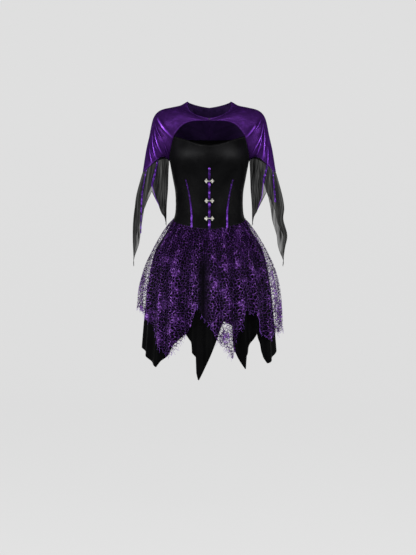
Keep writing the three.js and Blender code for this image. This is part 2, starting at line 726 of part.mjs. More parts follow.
function addNeckHook() {
  const { width, height, corner, thickness, down } = neckHook;
  const [w, h] = [width / 2 - corner, height / 2 - corner];
  const outline = new THREE.Shape();
  outline.absarc(w, h, corner, 0, Math.PI / 2);
  outline.absarc(-w, h, corner, Math.PI / 2, Math.PI);
  outline.absarc(-w, -h, corner, Math.PI, 1.5 * Math.PI);
  outline.absarc(w, -h, corner, 1.5 * Math.PI, 2 * Math.PI);
  const options = { depth: thickness, bevelEnabled: false, curveSegments: 1 };
  const geometry = new THREE.ExtrudeGeometry(outline, options);
  geometry.rotateX(Math.PI / 2);
  const near = [yokeSpot("front", hookAt, 1), yokeSpot("front", 0.05, 0.97)].map((spot) => spot.point.y);
  geometry.translate(0, Math.min(keyhole[0].y, ...near), -down);
  add("neck_hook", geometry, materials.hook);
}

// Sleeve falls of sheer cloth, under the hem of each cap sleeve.

// The hem of the cap sleeve round the arm, just below the edge of its wall.
function capHem(angle) {
  const hem = angle <= 90 ? capHems.front : capHems.back;
  const place = clamp(Math.abs(90 - angle) / 180, 0, 1) * (hem.length - 1);
  const i = Math.min(Math.floor(place), hem.length - 2);
  const hemAt = (key) => hem[i][key].clone().lerp(hem[i + 1][key], place - i);
  return hemAt("point").addScaledVector(hemAt("normal"), -0.1).add(new THREE.Vector3(0, 0, -hemDrop));
}

function armTube(side, angle, down) {
  const ring = read(armRings, "down", down);
  const turn = radians(angle);
  const swing = read(sway[side], "down", down).out * Math.max(0, Math.sin(turn));
  const ripple = 2.6 * Math.sin(radians(5 * angle) + down / 60) * clamp((down - 200) / 160, 0, 1);
  return new THREE.Vector3(
    ring.x + (ring.side + ripple) * Math.sin(turn) + swing,
    -(ring.depth + ripple) * Math.cos(turn),
    -down,
  );
}

// A point of a sleeve fall: the arm's tube, drawn to the hem of the cap over the first part of its length.
function fallPoint(side, angle, down) {
  const hem = capHem(angle);
  const tube = armTube(side, angle, down);
  const shift = hem.clone().sub(armTube(side, angle, -hem.z));
  return tube.addScaledVector(shift, (1 - clamp((down + hem.z) / 110, 0, 1)) ** 2);
}

const fallRows = 9;

function addSleeveFalls() {
  for (const [side, sign] of [["left", 1], ["right", -1]]) {
    const front = (down) => read(fallSeams[side], "down", down).front;
    const outer = (down) => read(fallSeams[side], "down", down).outer;
    const gores = [
      { name: "inner", edges: [() => -90 - 0.25, front], steps: [8], trim: inFront },
      { name: "outer", edges: [front, outer], steps: [5], trim: (point) => point },
      { name: "back", edges: [outer, () => 90, () => 270 + 0.25], steps: [4, 10], trim: behindUnderarm },
    ];
    const surface = (angle, down) => fallPoint(side, angle, down);
    const grids = {};
    for (const { name, edges, steps, trim } of gores) {
      const columns = steps.flatMap((count, k) => Array.from({ length: count }, (_, j) => k + j / count));
      columns.push(steps.length);
      grids[name] = [];
      for (let i = 0; i <= fallRows; i++) {
        const row = [];
        for (const column of columns) {
          // The seams lean, so the angle of a column is found again from how far down it has come.
          const k = Math.min(Math.floor(column), steps.length - 1);
          const gap = column === 0 ? 0.25 : column === steps.length ? -0.25 : 0;
          const angleAt = (down) => mix(edges[k](down), edges[k + 1](down), column - k) + gap;
          let angle = angleAt(300);
          let down = 0;
          for (let pass = 0; pass < 4; pass++) {
            down = mix(-capHem(angle).z, read(fallHem[side], "angle", angle, true).down, i / fallRows);
            angle = angleAt(down);
          }
          const spot = { point: surface(angle, down), normal: normalOf(surface, angle, down, 0.5, 1.5, -1) };
          row.push(sign > 0 ? spot : mirrored(spot));
        }
        grids[name].push(row);
      }
      add(`gore_${name}_${side}`, clothWall(grids[name], cloth.chiffon, trim), materials.chiffon);
    }
    const { frontEnd, outerEnd } = sleeveRibbons[side];
    addSleeveRibbon(`ribbon_sleeve_front_${side}`, grids.inner, grids.outer, frontEnd, 2);
    addSleeveRibbon(`ribbon_sleeve_outer_${side}`, grids.outer, grids.back, outerEnd, 4);
  }
}

// Ribbon over the seam of two gores, from the cap sleeve to a distance down.
function addSleeveRibbon(name, before, after, endDown, finer) {
  const spots = [];
  for (let k = 1; k <= fallRows * finer; k++) {
    const i = Math.min(Math.floor(k / finer), fallRows - 1);
    const seamAt = (key) => {
      const edges = [i, i + 1].map((row) => {
        const last = before[row].length - 1;
        return before[row][last][key].clone().lerp(after[row][0][key], 0.5);
      });
      return edges[0].lerp(edges[1], k / finer - i);
    };
    const spot = { point: seamAt("point"), normal: seamAt("normal").normalize() };
    const last = spots[spots.length - 1];
    const clear = !last || last.point.distanceTo(spot.point) >= ribbon.sleeveStep;
    if (clear && -spot.point.z <= endDown) spots.push(spot);
  }
  add(name, ribbonStrip(spots, ribbon.sleeveWidth, ribbon.sleeveLift), materials.ribbon);
}

// The skirts: a satin skirt, and a gathered net skirt over it.

// The rows of a table for the front, then the same rows seen from behind, once round the body.
function allRound(front) {
  const back = front.map((row) => ({ ...row, angle: 180 - row.angle })).reverse();
  return [...front, ...back, { ...front[0], angle: front[0].angle + 360 }];
}
const folds = { under: allRound(underFolds), net: allRound(netFolds) };

// How far a skirt stands out at an angle: a crest at each row, and a valley on the way to the next.
function foldAt(table, angle) {
  const first = table[0].angle;
  const place = ((((angle - first) % 360) + 360) % 360) + first;
  const i = Math.max(0, table.findIndex((row) => row.angle > place) - 1);
  const [a, b] = [table[i], table[i + 1]];
  const t = (place - a.angle) / (b.angle - a.angle);
  return mix(a.crest, b.crest, ease(t)) - a.valley * Math.sin(Math.PI * t) ** 2;
}

// A point of a level section of a skirt, moved straight out by a distance.
function ringPoint(rings, angle, down, out) {
  const ring = read(rings, "down", down);
  const turn = radians(angle);
  const depth = Math.cos(turn) > 0 ? ring.front : ring.back;
  return new THREE.Vector3((ring.side + out) * Math.sin(turn), -(depth + out) * Math.cos(turn), -down);
}

// Folds open from the waist seam to the hem.
const opening = (angle, down) => clamp((down - waistAt(angle)) / 430, 0, 1) ** 0.8;

function underPoint(angle, down) {
  return ringPoint(underRings, angle, down, foldAt(folds.under, angle) * opening(angle, down));
}

// The gathers are a zigzag with a crest on every other column of the net.
const netColumns = columnsAt(netHem.map((row) => row.angle), gathers.spacing);
function gatherAt(angle, below) {
  const fromFront = angle > 90 ? 180 - angle : angle;
  const j = Math.max(1, netColumns.findIndex((column) => column >= fromFront));
  const share = (fromFront - netColumns[j - 1]) / (netColumns[j] - netColumns[j - 1]);
  const zigzag = j % 2 ? mix(-1, 1, share) : mix(1, -1, share);
  return gathers.depth * zigzag * clamp(1 - below / gathers.reach, 0, 1);
}

function netPoint(angle, down) {
  const below = down - waistAt(angle);
  const out = foldAt(folds.net, angle) * opening(angle, down) + gatherAt(angle, below);
  const point = ringPoint(netRings, angle, down, out);
  const under = underPoint(angle, down);
  const outwards = new THREE.Vector3(Math.sin(radians(angle)), -Math.cos(radians(angle)), 0);
  // Where the net would sink into the satin it lies on it instead, with a soft bend on the way.
  const share = clamp(below / 60, 0, 1);
  const spare = point.clone().sub(under).dot(outwards) - mix(layerRoom.top, layerRoom.low, share);
  const softness = mix(0.1, 1.2, share);
  const push = spare > 0 ? Math.exp(-spare / softness) * softness : softness - spare;
  return point.addScaledVector(outwards, push);
}

function addSkirts() {
  const underColumns = columnsAt(underHem.map((row) => row.angle), 4.6);
  const layers = [
    { name: "underskirt", surface: underPoint, hem: underHem, columns: underColumns, kind: "satin", rows: 6 },
    { name: "net_skirt", surface: netPoint, hem: netHem, columns: netColumns, kind: "net", rows: 7 },
  ];
  for (const { name, surface, hem, columns, kind, rows } of layers) {
    const wall = cloth[kind];
    const material = materials[kind];
    const topAt = (angle) => waistAt(angle) + seamGap + 0.1;
    const hemAt = (angle) => read(hem, "angle", angle, true).down;
    const front = hangingGrid(surface, -1, columns, rows, topAt, hemAt);
    add(`${name}_front`, clothWall(front, wall, inFront), material);
    const backColumns = columns.map((angle) => 180 - angle);
    const back = hangingGrid(surface, -1, backColumns, rows, topAt, (angle) => hemAt(180 - angle));
    add(`${name}_back`, clothWall(back, wall, behind), material);
  }
}

addBodiceRibbon(addBodice());
addClasps();
const capHems = addYoke();
addNeckHook();
addSleeveFalls();
addSkirts();

export default costume;
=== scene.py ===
import math

import bpy
import numpy as np
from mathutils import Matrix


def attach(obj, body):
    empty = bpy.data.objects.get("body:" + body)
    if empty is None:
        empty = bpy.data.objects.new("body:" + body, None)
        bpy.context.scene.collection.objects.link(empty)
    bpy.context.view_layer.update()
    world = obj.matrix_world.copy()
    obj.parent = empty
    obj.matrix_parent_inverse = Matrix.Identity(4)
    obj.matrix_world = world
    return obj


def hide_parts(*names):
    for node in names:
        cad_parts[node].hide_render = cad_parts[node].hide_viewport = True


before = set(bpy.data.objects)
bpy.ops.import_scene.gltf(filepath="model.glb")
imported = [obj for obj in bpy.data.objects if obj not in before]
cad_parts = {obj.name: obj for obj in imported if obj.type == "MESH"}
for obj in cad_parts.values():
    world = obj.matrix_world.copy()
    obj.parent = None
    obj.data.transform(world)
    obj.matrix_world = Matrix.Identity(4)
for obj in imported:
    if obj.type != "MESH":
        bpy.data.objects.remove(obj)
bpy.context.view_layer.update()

# Meshes are worked out in millimetres and degrees and written in metres.
# "down" is a distance below the neck points. An angle round the body is 0 at centre front, 90 at the wearer's
# left side seam and 180 at centre back. Round an arm it is 0 in front and 90 on the outside.

sides = {"left": 1, "right": -1}
floorAt = -1443
# How far a half reaches past the plane it ends at, so that no light shows between the halves.
overlap = 0.3

# Camera and light.

camera = bpy.data.objects.new("camera", bpy.data.cameras.new("camera"))
camera.data.lens = 99.8  # 1.80 m of height seen from 5 m away
camera.data.sensor_width = 36
camera.location = (-0.0042, -5, -0.572)
camera.rotation_euler = (math.radians(90), 0, 0)
bpy.context.scene.collection.objects.link(camera)
bpy.context.scene.camera = camera
bpy.context.scene.view_settings.view_transform = "Standard"

world = bpy.data.worlds.new("studio")
world.use_nodes = True
world.node_tree.nodes["Background"].inputs["Color"].default_value = (1, 1, 1, 1)
world.node_tree.nodes["Background"].inputs["Strength"].default_value = 0.12
bpy.context.scene.world = world


def addLight(name, place, aim, size, power):
    data = bpy.data.lights.new(name, "AREA")
    data.shape = "RECTANGLE"
    data.size, data.size_y = size
    data.energy = power
    light = bpy.data.objects.new(name, data)
    light.location = place
    direction = np.array(place, float) - np.array(aim, float)
    flat = math.hypot(direction[0], direction[1])
    light.rotation_euler = (math.atan2(flat, direction[2]), 0, math.atan2(direction[0], -direction[1]))
    bpy.context.scene.collection.objects.link(light)


addLight("key", (-2.9, -2.2, 0.1), (0, 0, -0.45), (1.5, 1.8), 135)
addLight("fill", (3.1, -1.9, 0.0), (0, 0, -0.45), (1.5, 1.8), 115)
addLight("front", (0.3, -3.6, 1.3), (0, 0, -0.4), (1.6, 0.6), 42)
addLight("rear", (0.2, 3.0, 1.7), (0, 0, -0.3), (2.2, 0.8), 12)


# Shapes.


def table(names, *rows):
    return {name: [row[i] for row in rows] for i, name in enumerate(names.split())}


def mix(a, b, share):
    return a + (b - a) * share


def ease(share):
    return share * share * (3 - 2 * share)


def limited(value):
    return np.clip(value, 0, 1)


def steps(count):
    return np.linspace(0, 1, count)


def xyz(x, y, z):
    return np.stack([x, y, z], -1)


def bump(distance, width):
    return np.exp(-((distance / width) ** 2))


# Every column of a table where its first one has a value, on a curve through the rows or in straight lines.
def read(rows, at, straight=False):
    x = np.array(next(iter(rows.values())), float)
    at = np.clip(at, x[0], x[-1])
    i = np.clip(np.searchsorted(x, at, side="left") - 1, 0, len(x) - 2)
    before, after = np.maximum(i - 1, 0), np.minimum(i + 2, len(x) - 1)
    span = x[i + 1] - x[i]
    t = (at - x[i]) / span
    values = {}
    for name, column in rows.items():
        c = np.array(column, float)
        slopeA = (c[i + 1] - c[before]) / (x[i + 1] - x[before]) * span
        slopeB = (c[after] - c[i]) / (x[after] - x[i]) * span
        curved = mix(c[i], c[i + 1], ease(t)) + t * (1 - t) * (slopeA * (1 - t) - slopeB * t)
        values[name] = mix(c[i], c[i + 1], t) if straight else curved
    return values


# How far down a line lies at an angle, such as a hem from point to point.
def lineAt(rows, angle):
    return read(rows, angle, True)["down"]


def unit(vectors):
    return vectors / np.maximum(np.linalg.norm(vectors, axis=-1, keepdims=True), 1e-9)


# Normals of a surface, from its slopes along both parameters.
def normalsOf(surface, a, b, stepA, stepB, facing):
    alongA = surface(a + stepA, b) - surface(a - stepA, b)
    alongB = surface(a, b + stepB) - surface(a, b - stepB)
    return unit(np.cross(alongA, alongB) * facing)


# Smooth unevenness from -1 to 1: five sine waves that cross at unrelated angles.
def uneven(a, b, seed):
    total = 0 * (a + b)
    for k in range(5):
        turn = seed * 1.7 + k * 2.4
        wave = a * math.cos(turn) * (1 + 0.37 * k) + b * math.sin(turn) * (1 + 0.29 * k)
        total = total + np.sin(wave + seed * 3.1 + k)
    return total / 5


# Creases given one by one: each row is a ridge from one place to another, with its height and width. A height
# below 0 is a trough.
def creased(a, b, rows):
    lift = 0 * (a + b)
    for a0, b0, a1, b1, height, width in rows:
        da, db = a1 - a0, b1 - b0
        along = limited(((a - a0) * da + (b - b0) * db) / (da * da + db * db))
        off = np.hypot(a - a0 - along * da, b - b0 - along * db)
        lift = lift + height * np.exp(-((off / width) ** 1.4)) * np.sin(np.pi * mix(0.08, 0.94, along**0.8))
    return lift


# UV in metres: the distance walked along the middle row, and down each column.
def walkedUv(points):
    across = np.linalg.norm(np.diff(points, axis=-2), axis=-1)
    down = np.linalg.norm(np.diff(points, axis=-3), axis=-1)
    u = np.concatenate([0 * across[..., :1], np.cumsum(across, -1)], -1)
    u = np.repeat(u[..., u.shape[-2] // 2, None, :], points.shape[-3], -2)
    v = np.concatenate([0 * down[..., :1, :], np.cumsum(down, -2)], -2)
    return np.stack([u, -v], -1) * 0.001


# A mesh from grids of points (rows, columns, 3) or stacks of them, its faces turned away from the core.
def fromGrids(name, grids, cloth, core):
    quads, start = [], 0
    for grid in grids:
        count = int(np.prod(grid.shape[:-1]))
        index = start + np.arange(count).reshape(-1, *grid.shape[-3:-1])
        corners = [index[:, :-1, :-1], index[:, :-1, 1:], index[:, 1:, 1:], index[:, 1:, :-1]]
        quads.append(np.stack(corners, -1).reshape(-1, 4))
        start += count
    quads = np.concatenate(quads)
    points = np.concatenate([grid.reshape(-1, 3) for grid in grids])
    a, b, c, d = (points[quads[:, k]] for k in range(4))
    if (np.cross(c - a, d - b) * ((a + c) / 2 - np.array(core))).sum() < 0:
        quads = quads[:, ::-1]
    mesh = bpy.data.meshes.new(name)
    mesh.from_pydata((points * 0.001).tolist(), [], quads.tolist())
    mesh.polygons.foreach_set("use_smooth", np.ones(len(quads), bool))
    mesh.materials.append(cloth)
    made = bpy.data.objects.new(name, mesh)
    bpy.context.scene.collection.objects.link(made)
    return made, quads


# A piece of the dress. Marks are values at its points for the material; the core lies inside it.
def addPiece(
    name, grids, cloth, stands=(), thickness=0, uvs=None, marks=None, core=(0, 0, -400), inside=None
):
    piece, quads = fromGrids(name, grids, cloth, core)
    coords = np.concatenate([uv.reshape(-1, 2) for uv in (uvs or [walkedUv(grid) for grid in grids])])
    layer = piece.data.uv_layers.new(name="cloth")
    layer.data.foreach_set("uv", coords[quads.ravel()].astype(np.float32).ravel())
    for key, values in (marks or {}).items():
        attribute = piece.data.attributes.new(key, "FLOAT", "POINT")
        attribute.data.foreach_set("value", np.concatenate([v.ravel() for v in values]).astype(np.float32))
    if thickness:
        wall = piece.modifiers.new("thickness", "SOLIDIFY")
        wall.thickness = thickness * 0.001
        wall.offset = -1
        if inside:
            piece.data.materials.append(inside)
            wall.material_offset = 1
    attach(piece, "root")
    if stands:
        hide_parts(*stands)
    return piece


# Tubes along paths (count, steps, 3), with a radius for each step.
def tubes(paths, radii, corners):
    ahead = unit(np.gradient(paths, axis=1))
    sideways = unit(np.cross(ahead, np.array([0.31, 0.83, 0.47])))
    over = np.cross(ahead, sideways)
    turn = np.linspace(0, 2 * np.pi, corners + 1)[:, None]
    ring = np.cos(turn) * sideways[:, :, None] + np.sin(turn) * over[:, :, None]
    return paths[:, :, None] + np.asarray(radii)[..., None, None] * ring


# Spots at even distances along a path (n, 3), with the path's normals there: (count, 3) each.
def paced(path, normals, distances):
    walked = np.concatenate([[0], np.cumsum(np.linalg.norm(np.diff(path, axis=0), axis=-1))])
    spots = [np.interp(distances, walked, path[:, k]) for k in range(3)]
    leans = [np.interp(distances, walked, normals[:, k]) for k in range(3)]
    return np.stack(spots, -1), unit(np.stack(leans, -1)), walked[-1]


# Lines of stitches on the cloth. Each stitch is a short arch of thread, sunk at both ends.
stitch = {"pitch": 3.4, "length": 2.5, "radius": 0.24, "rise": 0.34, "sink": 0.14}


def addStitches(name, lines, cloth):
    grids = []
    for path, normals in lines:
        length = paced(path, normals, np.zeros(1))[2]
        starts = np.arange(1.0, length - stitch["length"], stitch["pitch"])[:, None]
        along = steps(5)
        spots, leans, _ = paced(path, normals, starts + along * stitch["length"])
        arch = (stitch["rise"] * np.sin(np.pi * along) - stitch["sink"])[:, None]
        grids.append(tubes(spots + leans * arch, stitch["radius"] * (1 - 0.2 * (2 * along - 1) ** 2), 5))
    return addPiece(name, grids, cloth)


# Materials.


def material(name):
    made = bpy.data.materials.new(name)
    made.use_nodes = True
    return made, made.node_tree, made.node_tree.nodes["Principled BSDF"]


# Sets a node's inputs, by name with _ for a space or by _ and a number, to values or other nodes' outputs.
def setAll(made, **inputs):
    for key, value in inputs.items():
        socket = made.inputs[int(key[1:])] if key[0] == "_" else made.inputs[key.replace("_", " ")]
        if isinstance(value, bpy.types.NodeSocket):
            made.id_data.links.new(value, socket)
        else:
            socket.default_value = value


def node(tree, kind, settings=None, **inputs):
    made = tree.nodes.new("ShaderNode" + kind)
    for key, value in (settings or {}).items():
        setattr(made, key, value)
    setAll(made, **inputs)
    return made


def maths(operation, a, b, clamp=False):
    settings = {"operation": operation, "use_clamp": clamp}
    return node(a.id_data, "Math", settings, _0=a, _1=b).outputs[0]


def plus(a, b, clamp=False):
    return maths("ADD", a, b, clamp)


def times(a, b):
    return maths("MULTIPLY", a, b)


# A value moved from one range to another and held at the ends.
def between(value, low, high, toLow=0.0, toHigh=1.0):
    made = node(value.id_data, "MapRange", _0=value, _1=low, _2=high, _3=toLow, _4=toHigh)
    return made.outputs["Result"]


def ramp(value, stops):
    made = node(value.id_data, "ValToRGB", _0=value)
    while len(made.color_ramp.elements) < len(stops):
        made.color_ramp.elements.new(0.5)
    for element, (place, colour) in zip(made.color_ramp.elements, stops):
        element.position = place
        element.color = (*colour, 1)
    return made.outputs["Color"]


def clothCoords(tree, scaleU=1.0, scaleV=1.0):
    coords = node(tree, "UVMap", {"uv_map": "cloth"}).outputs["UV"]
    return node(tree, "Mapping", Vector=coords, Scale=(scaleU, scaleV, 1)).outputs["Vector"]


def mark(tree, name):
    return node(tree, "Attribute", {"attribute_name": name}).outputs["Fac"]


def noise(coords, scale, detail=3.0, roughness=0.5, output="Fac"):
    settings = {"Vector": coords, "Scale": scale, "Detail": detail, "Roughness": roughness}
    return node(coords.id_data, "TexNoise", **settings).outputs[output]


def grain(tree, scale, detail=3.0):
    return noise(node(tree, "TexCoord").outputs["Object"], scale, detail)


def raised(height, strength, distance):
    made = node(height.id_data, "Bump", Strength=strength, Distance=distance, Height=height)
    return made.outputs["Normal"]


def wave(coords, axis, scale, distortion):
    settings = {"Vector": coords, "Scale": scale, "Distortion": distortion}
    return node(coords.id_data, "TexWave", {"bands_direction": axis}, **settings).outputs["Fac"]


# Bump of a knit or weave: two crossed waves of one pitch in metres, plus a height of its own.
def woven(tree, pitch, strength, distance, extra=None):
    coords = clothCoords(tree)
    height = times(*[wave(coords, axis, 2 * math.pi / pitch / 20, 0.5) for axis in "XY"])
    return raised(plus(height, extra) if extra else height, strength, distance)


def makeJersey():
    made, tree, shader = material("black jersey")
    cloud = noise(clothCoords(tree), 18.0, 5.0)
    # Painted highlight: the cloth over the bust is paler, for the sheen of the front light on it.
    tone = plus(times(cloud, 0.5), times(mark(tree, "painted_bust_highlight"), 0.5))
    stops = [
        (0.15, (0.0016, 0.0016, 0.0018)), (0.35, (0.0034, 0.0034, 0.0037)), (0.8, (0.0125, 0.0125, 0.0132)),
    ]
    drag = times(noise(clothCoords(tree, 1.0, 3.0), 26.0), 6.0)
    setAll(shader, Base_Color=ramp(tone, stops), Roughness=0.34, Specular_IOR_Level=0.014)
    setAll(shader, Normal=woven(tree, 0.0009, 0.35, 0.0003, drag))
    return made


def makeFoil():
    made, tree, shader = material("purple foil jersey")
    cloud = noise(clothCoords(tree), 60.0, 6.0, 0.65)
    # Painted highlight: the foil is bright along the crests of the ridges, with painted shade beside them.
    tone = plus(between(mark(tree, "painted_ridge_light"), -0.4, 1.0), between(cloud, 0.3, 0.7, -0.07, 0.07))
    stops = [
        (0.0, (0.007, 0.0015, 0.02)), (0.286, (0.034, 0.0088, 0.076)), (0.6, (0.12, 0.03, 0.31)),
        (1.0, (0.38, 0.13, 0.82)),
    ]
    drag = noise(clothCoords(tree, 1.0, 0.3), 55.0)
    setAll(shader, Base_Color=ramp(tone, stops), Roughness=between(cloud, 0.3, 0.7, 0.28, 0.38))
    setAll(shader, Metallic=0.45, Specular_IOR_Level=0.0, Specular_Tint=(0.12, 0.03, 0.18, 1))
    setAll(shader, Normal=woven(tree, 0.0008, 0.15, 0.0003, drag))
    return made


# A plain cloth with two clouded tones.
def makePlain(name, scale, low, high, roughness, shine, weave):
    made, tree, shader = material(name)
    cloud = noise(clothCoords(tree), scale, 4.0)
    setAll(shader, Base_Color=ramp(cloud, [(0.3, low), (0.7, high)]), Roughness=roughness)
    setAll(shader, Specular_IOR_Level=shine, Normal=woven(tree, *weave))
    return made


def makeChiffon():
    made, tree, shader = material("black chiffon")
    slub = noise(clothCoords(tree, 1.0, 0.12), 260.0)
    soft = noise(clothCoords(tree, 1.0, 0.16), 38.0, 2.0)
    sheer = plus(between(slub, 0.3, 0.7, 0.6, 0.72), between(soft, 0.38, 0.6, -0.06, 0.2))
    # Denser streaks run down the cloth: painted shade for fine folds, where the cloth lies double.
    folds = noise(clothCoords(tree, 1.0, 0.07), 120.0, 1.0)
    sheer = plus(sheer, between(folds, 0.5, 0.62, 0.0, 0.2))
    hem = between(mark(tree, "toEdge"), 2.5, 4.5, 0.2, 0.0)
    setAll(shader, Base_Color=(0.005, 0.005, 0.0048, 1), Roughness=0.7, Specular_IOR_Level=0.05)
    setAll(shader, Alpha=plus(sheer, hem, True), Normal=woven(tree, 0.0008, 0.3, 0.0003))
    return made


# A web of threads, thicker and doubled where it is dense, with painted glints, a painted highlight on the
# crests of the folds and painted shade in the troughs.
def makeNet():
    made, tree, shader = material("web net")
    coords = clothCoords(tree)
    wander = noise(coords, 80.0, 2.0, output="Color")
    shift = node(tree, "VectorMath", {"operation": "SCALE"}, _0=wander, Scale=0.0125).outputs[0]
    moved = node(tree, "VectorMath", {"operation": "ADD"}, _0=coords, _1=shift).outputs[0]
    dense = between(noise(coords, 21.0, 2.5, 0.6), 0.46, 0.62)
    edges = {"feature": "DISTANCE_TO_EDGE", "voronoi_dimensions": "2D"}
    webs = []
    for scale, thin, thick in [(106.0, 0.078, 0.125), (215.0, -0.1, 0.12)]:
        cells = node(tree, "TexVoronoi", edges, Vector=moved, Scale=scale).outputs["Distance"]
        width = between(dense, 0.0, 1.0, thin, thick)
        webs.append(between(maths("SUBTRACT", width, cells), -0.015, 0.015))
    # Between dense patches the threads break off here and there.
    whole = between(noise(coords, 170.0, 1.0), 0.32, 0.38)
    web = maths("MAXIMUM", times(webs[0], maths("MAXIMUM", whole, dense)), webs[1])
    # Painted shade: in the fold right of centre front the threads are hidden.
    web = times(web, mark(tree, "painted_lit_share"))
    # Painted glints at random spots on the threads.
    glint = between(noise(coords, 130.0, 2.0), 0.44, 0.66)
    tone = plus(times(glint, 0.5), times(dense, 0.12))
    # Painted highlight on the crests of the folds, painted shade in the troughs.
    tone = plus(tone, between(mark(tree, "crest"), -0.7, 1.0, -0.16, 0.1), True)
    stops = [
        (0.0, (0.016, 0.004, 0.034)), (0.35, (0.055, 0.015, 0.112)), (0.7, (0.19, 0.075, 0.34)),
        (1.0, (0.74, 0.58, 0.86)),
    ]
    ground, purple = (0.016, 0.007, 0.03, 1), ramp(tone, stops)
    colour = node(tree, "Mix", {"data_type": "RGBA"}, _0=web, _6=ground, _7=purple).outputs[2]
    frayed = times(noise(coords, 420.0, 2.0), 5.0)
    kept = between(maths("SUBTRACT", mark(tree, "toEdge"), frayed), -1.6, -0.8)
    setAll(shader, Base_Color=colour, Alpha=times(between(web, 0.0, 1.0, 0.05, 0.96), kept))
    setAll(shader, Metallic=0.2, Roughness=0.45, Specular_IOR_Level=0.04)
    return made


# The ribbon is drawn up on threads into puffs: its colour has a painted highlight on the puffs and painted
# shade where it is stitched down.
def makeRibbon():
    made, tree, shader = material("purple satin ribbon")
    coords = clothCoords(tree)
    # Painted highlight on the puffs, painted shade between them.
    tone = plus(between(mark(tree, "puff"), 0.0, 1.0, -0.25, 0.35), noise(coords, 210.0))
    stops = [(0.3, (0.01, 0.003, 0.028)), (0.62, (0.05, 0.011, 0.15)), (0.95, (0.24, 0.08, 0.58))]
    setAll(shader, Base_Color=ramp(tone, stops), Metallic=0.4, Roughness=0.3, Specular_IOR_Level=0.05)
    setAll(shader, Normal=raised(wave(coords, "Y", 150.0, 6.0), 0.6, 0.0005))
    return made


def makeSilver():
    made, tree, shader = material("antique silver")
    fine = grain(tree, 900.0, 4.0)
    worn = times(mark(tree, "hollow"), between(fine, 0.2, 0.7, 0.55, 1.0))
    colour = ramp(worn, [(0.0, (0.66, 0.65, 0.6)), (1.0, (0.08, 0.077, 0.065))])
    setAll(shader, Base_Color=colour, Metallic=0.8, Roughness=between(fine, 0.2, 0.8, 0.3, 0.5))
    setAll(shader, Normal=raised(fine, 0.3, 0.0002))
    return made


def makeHook():
    made, tree, shader = material("dark enamel")
    colour = ramp(grain(tree, 1500.0), [(0.3, (0.01, 0.006, 0.016)), (0.8, (0.04, 0.025, 0.06))])
    setAll(shader, Base_Color=colour, Metallic=0.6, Roughness=0.35)
    return made


def makeThread(name, low, high):
    made, tree, shader = material(name)
    colour = ramp(grain(tree, 2500.0, 2.0), [(0.3, low), (0.7, high)])
    setAll(shader, Base_Color=colour, Roughness=0.5, Specular_IOR_Level=0.3)
    return made


jersey, foil = makeJersey(), makeFoil()
# The wrong side of the foil jersey shows the plain knit under it.
inner = [(0.012, 0.004, 0.03), (0.022, 0.007, 0.05)]
foilInside = makePlain("foil jersey, wrong side", 45.0, *inner, 0.75, 0.08, (0.0009, 0.4, 0.0003))
blacks = [(0.001, 0.001, 0.0011), (0.0022, 0.0022, 0.0024)]
satin = makePlain("black satin", 9.0, *blacks, 0.4, 0.004, (0.0007, 0.2, 0.0002))
chiffon = makeChiffon()
net, ribbonCloth, silver, enamel = makeNet(), makeRibbon(), makeSilver(), makeHook()
blackThread = makeThread("black thread", (0.006, 0.006, 0.006), (0.02, 0.02, 0.02))
purpleThread = makeThread("purple thread", (0.06, 0.012, 0.16), (0.16, 0.04, 0.38))
print("materials")


# The floor is round and curves up at its rim, so that no edge of it shows.
def addFloor():
    turn = np.linspace(0, 2 * np.pi, 97)[None]
    bend = np.linspace(0, np.pi / 2, 13)
    radius = np.concatenate([[0.1, 2000, 4000, 5500], 6000 + 2500 * np.sin(bend), [8500]])[:, None]
    height = np.concatenate([[0, 0, 0, 0], 2500 * (1 - np.cos(bend)), [4300]])[:, None] + floorAt
    points = xyz(radius * np.sin(turn), radius * np.cos(turn), height + 0 * turn)
    made, _, shader = material("pale floor")
    setAll(shader, Base_Color=(0.06, 0.06, 0.06, 1), Roughness=0.9, Specular_IOR_Level=0.0)
    setAll(shader, Emission_Color=(1, 1, 1, 1), Emission_Strength=0.7)
    floor, _ = fromGrids("floor", [points], made, (0, 0, 10000))


addFloor()

# Bodice.

halfGap, hookAt, centreBackAt, cornerAt = 0.2, 0.03, 0.15, 0.45
waistAtSide, waistDip = 382, 43
cornerAngle, cornerDown, backSeamDown = 55, 117, 118
yokeSeam = {"lift": 1.5, "drop": 2.5}
bodyRings = table(
    "down side front back",
    (60, 138, 74, 84), (100, 140, 80, 96), (140, 136, 88, 98), (190, 129.5, 92, 96), (248, 119, 90, 89),
    (292, 111, 86, 84), (333, 109, 84, 82), (364, 111, 86, 86), (385, 117, 90, 92), (430, 133, 99, 102),
)
bust = {"apex": 80, "fullness": 44, "centre": 0.45, "width": 40, "height": 48, "down": 182}
frontTop = table(
    "angle down",
    (0, 150), (12, 147.5), (23, 140), (36, 129), (46, 122), (cornerAngle, cornerDown), (61, 137), (68, 159),
    (76, 177), (84, 188), (90, 192),
)
backTop = table(
    "angle down",
    (0, backSeamDown), (cornerAngle, backSeamDown), (62, 140), (68, 160), (76, 178), (84, 188), (90, 192),
)


# How far the bust stands out: full at each apex, bridged between them, soft to the sides.
def bustAt(x, down):
    beyond = np.abs(x) - bust["apex"]
    bridge = mix(1, bust["centre"], ease(limited(-beyond / bust["apex"])))
    across = np.where(beyond > 0, bump(beyond, bust["width"]), bridge)
    return bust["fullness"] * across * bump(down - bust["down"], bust["height"])


# An ellipse at each height, with the bust added to its front half.
def bodyPoint(angle, down):
    ring = read(bodyRings, down + 0 * angle)
    turn = np.radians(angle + 0 * down)
    x = ring["side"] * np.sin(turn)
    cos = np.cos(turn)
    y = -np.where(cos > 0, ring["front"], ring["back"]) * cos
    y = y - np.where(cos > 0, bustAt(x, down) * np.sqrt(np.maximum(cos, 0)), 0)
    return xyz(x, y, -down + 0 * angle)


def bodyNormal(angle, down):
    return normalsOf(bodyPoint, angle, down, 0.4, 1.5, -1)


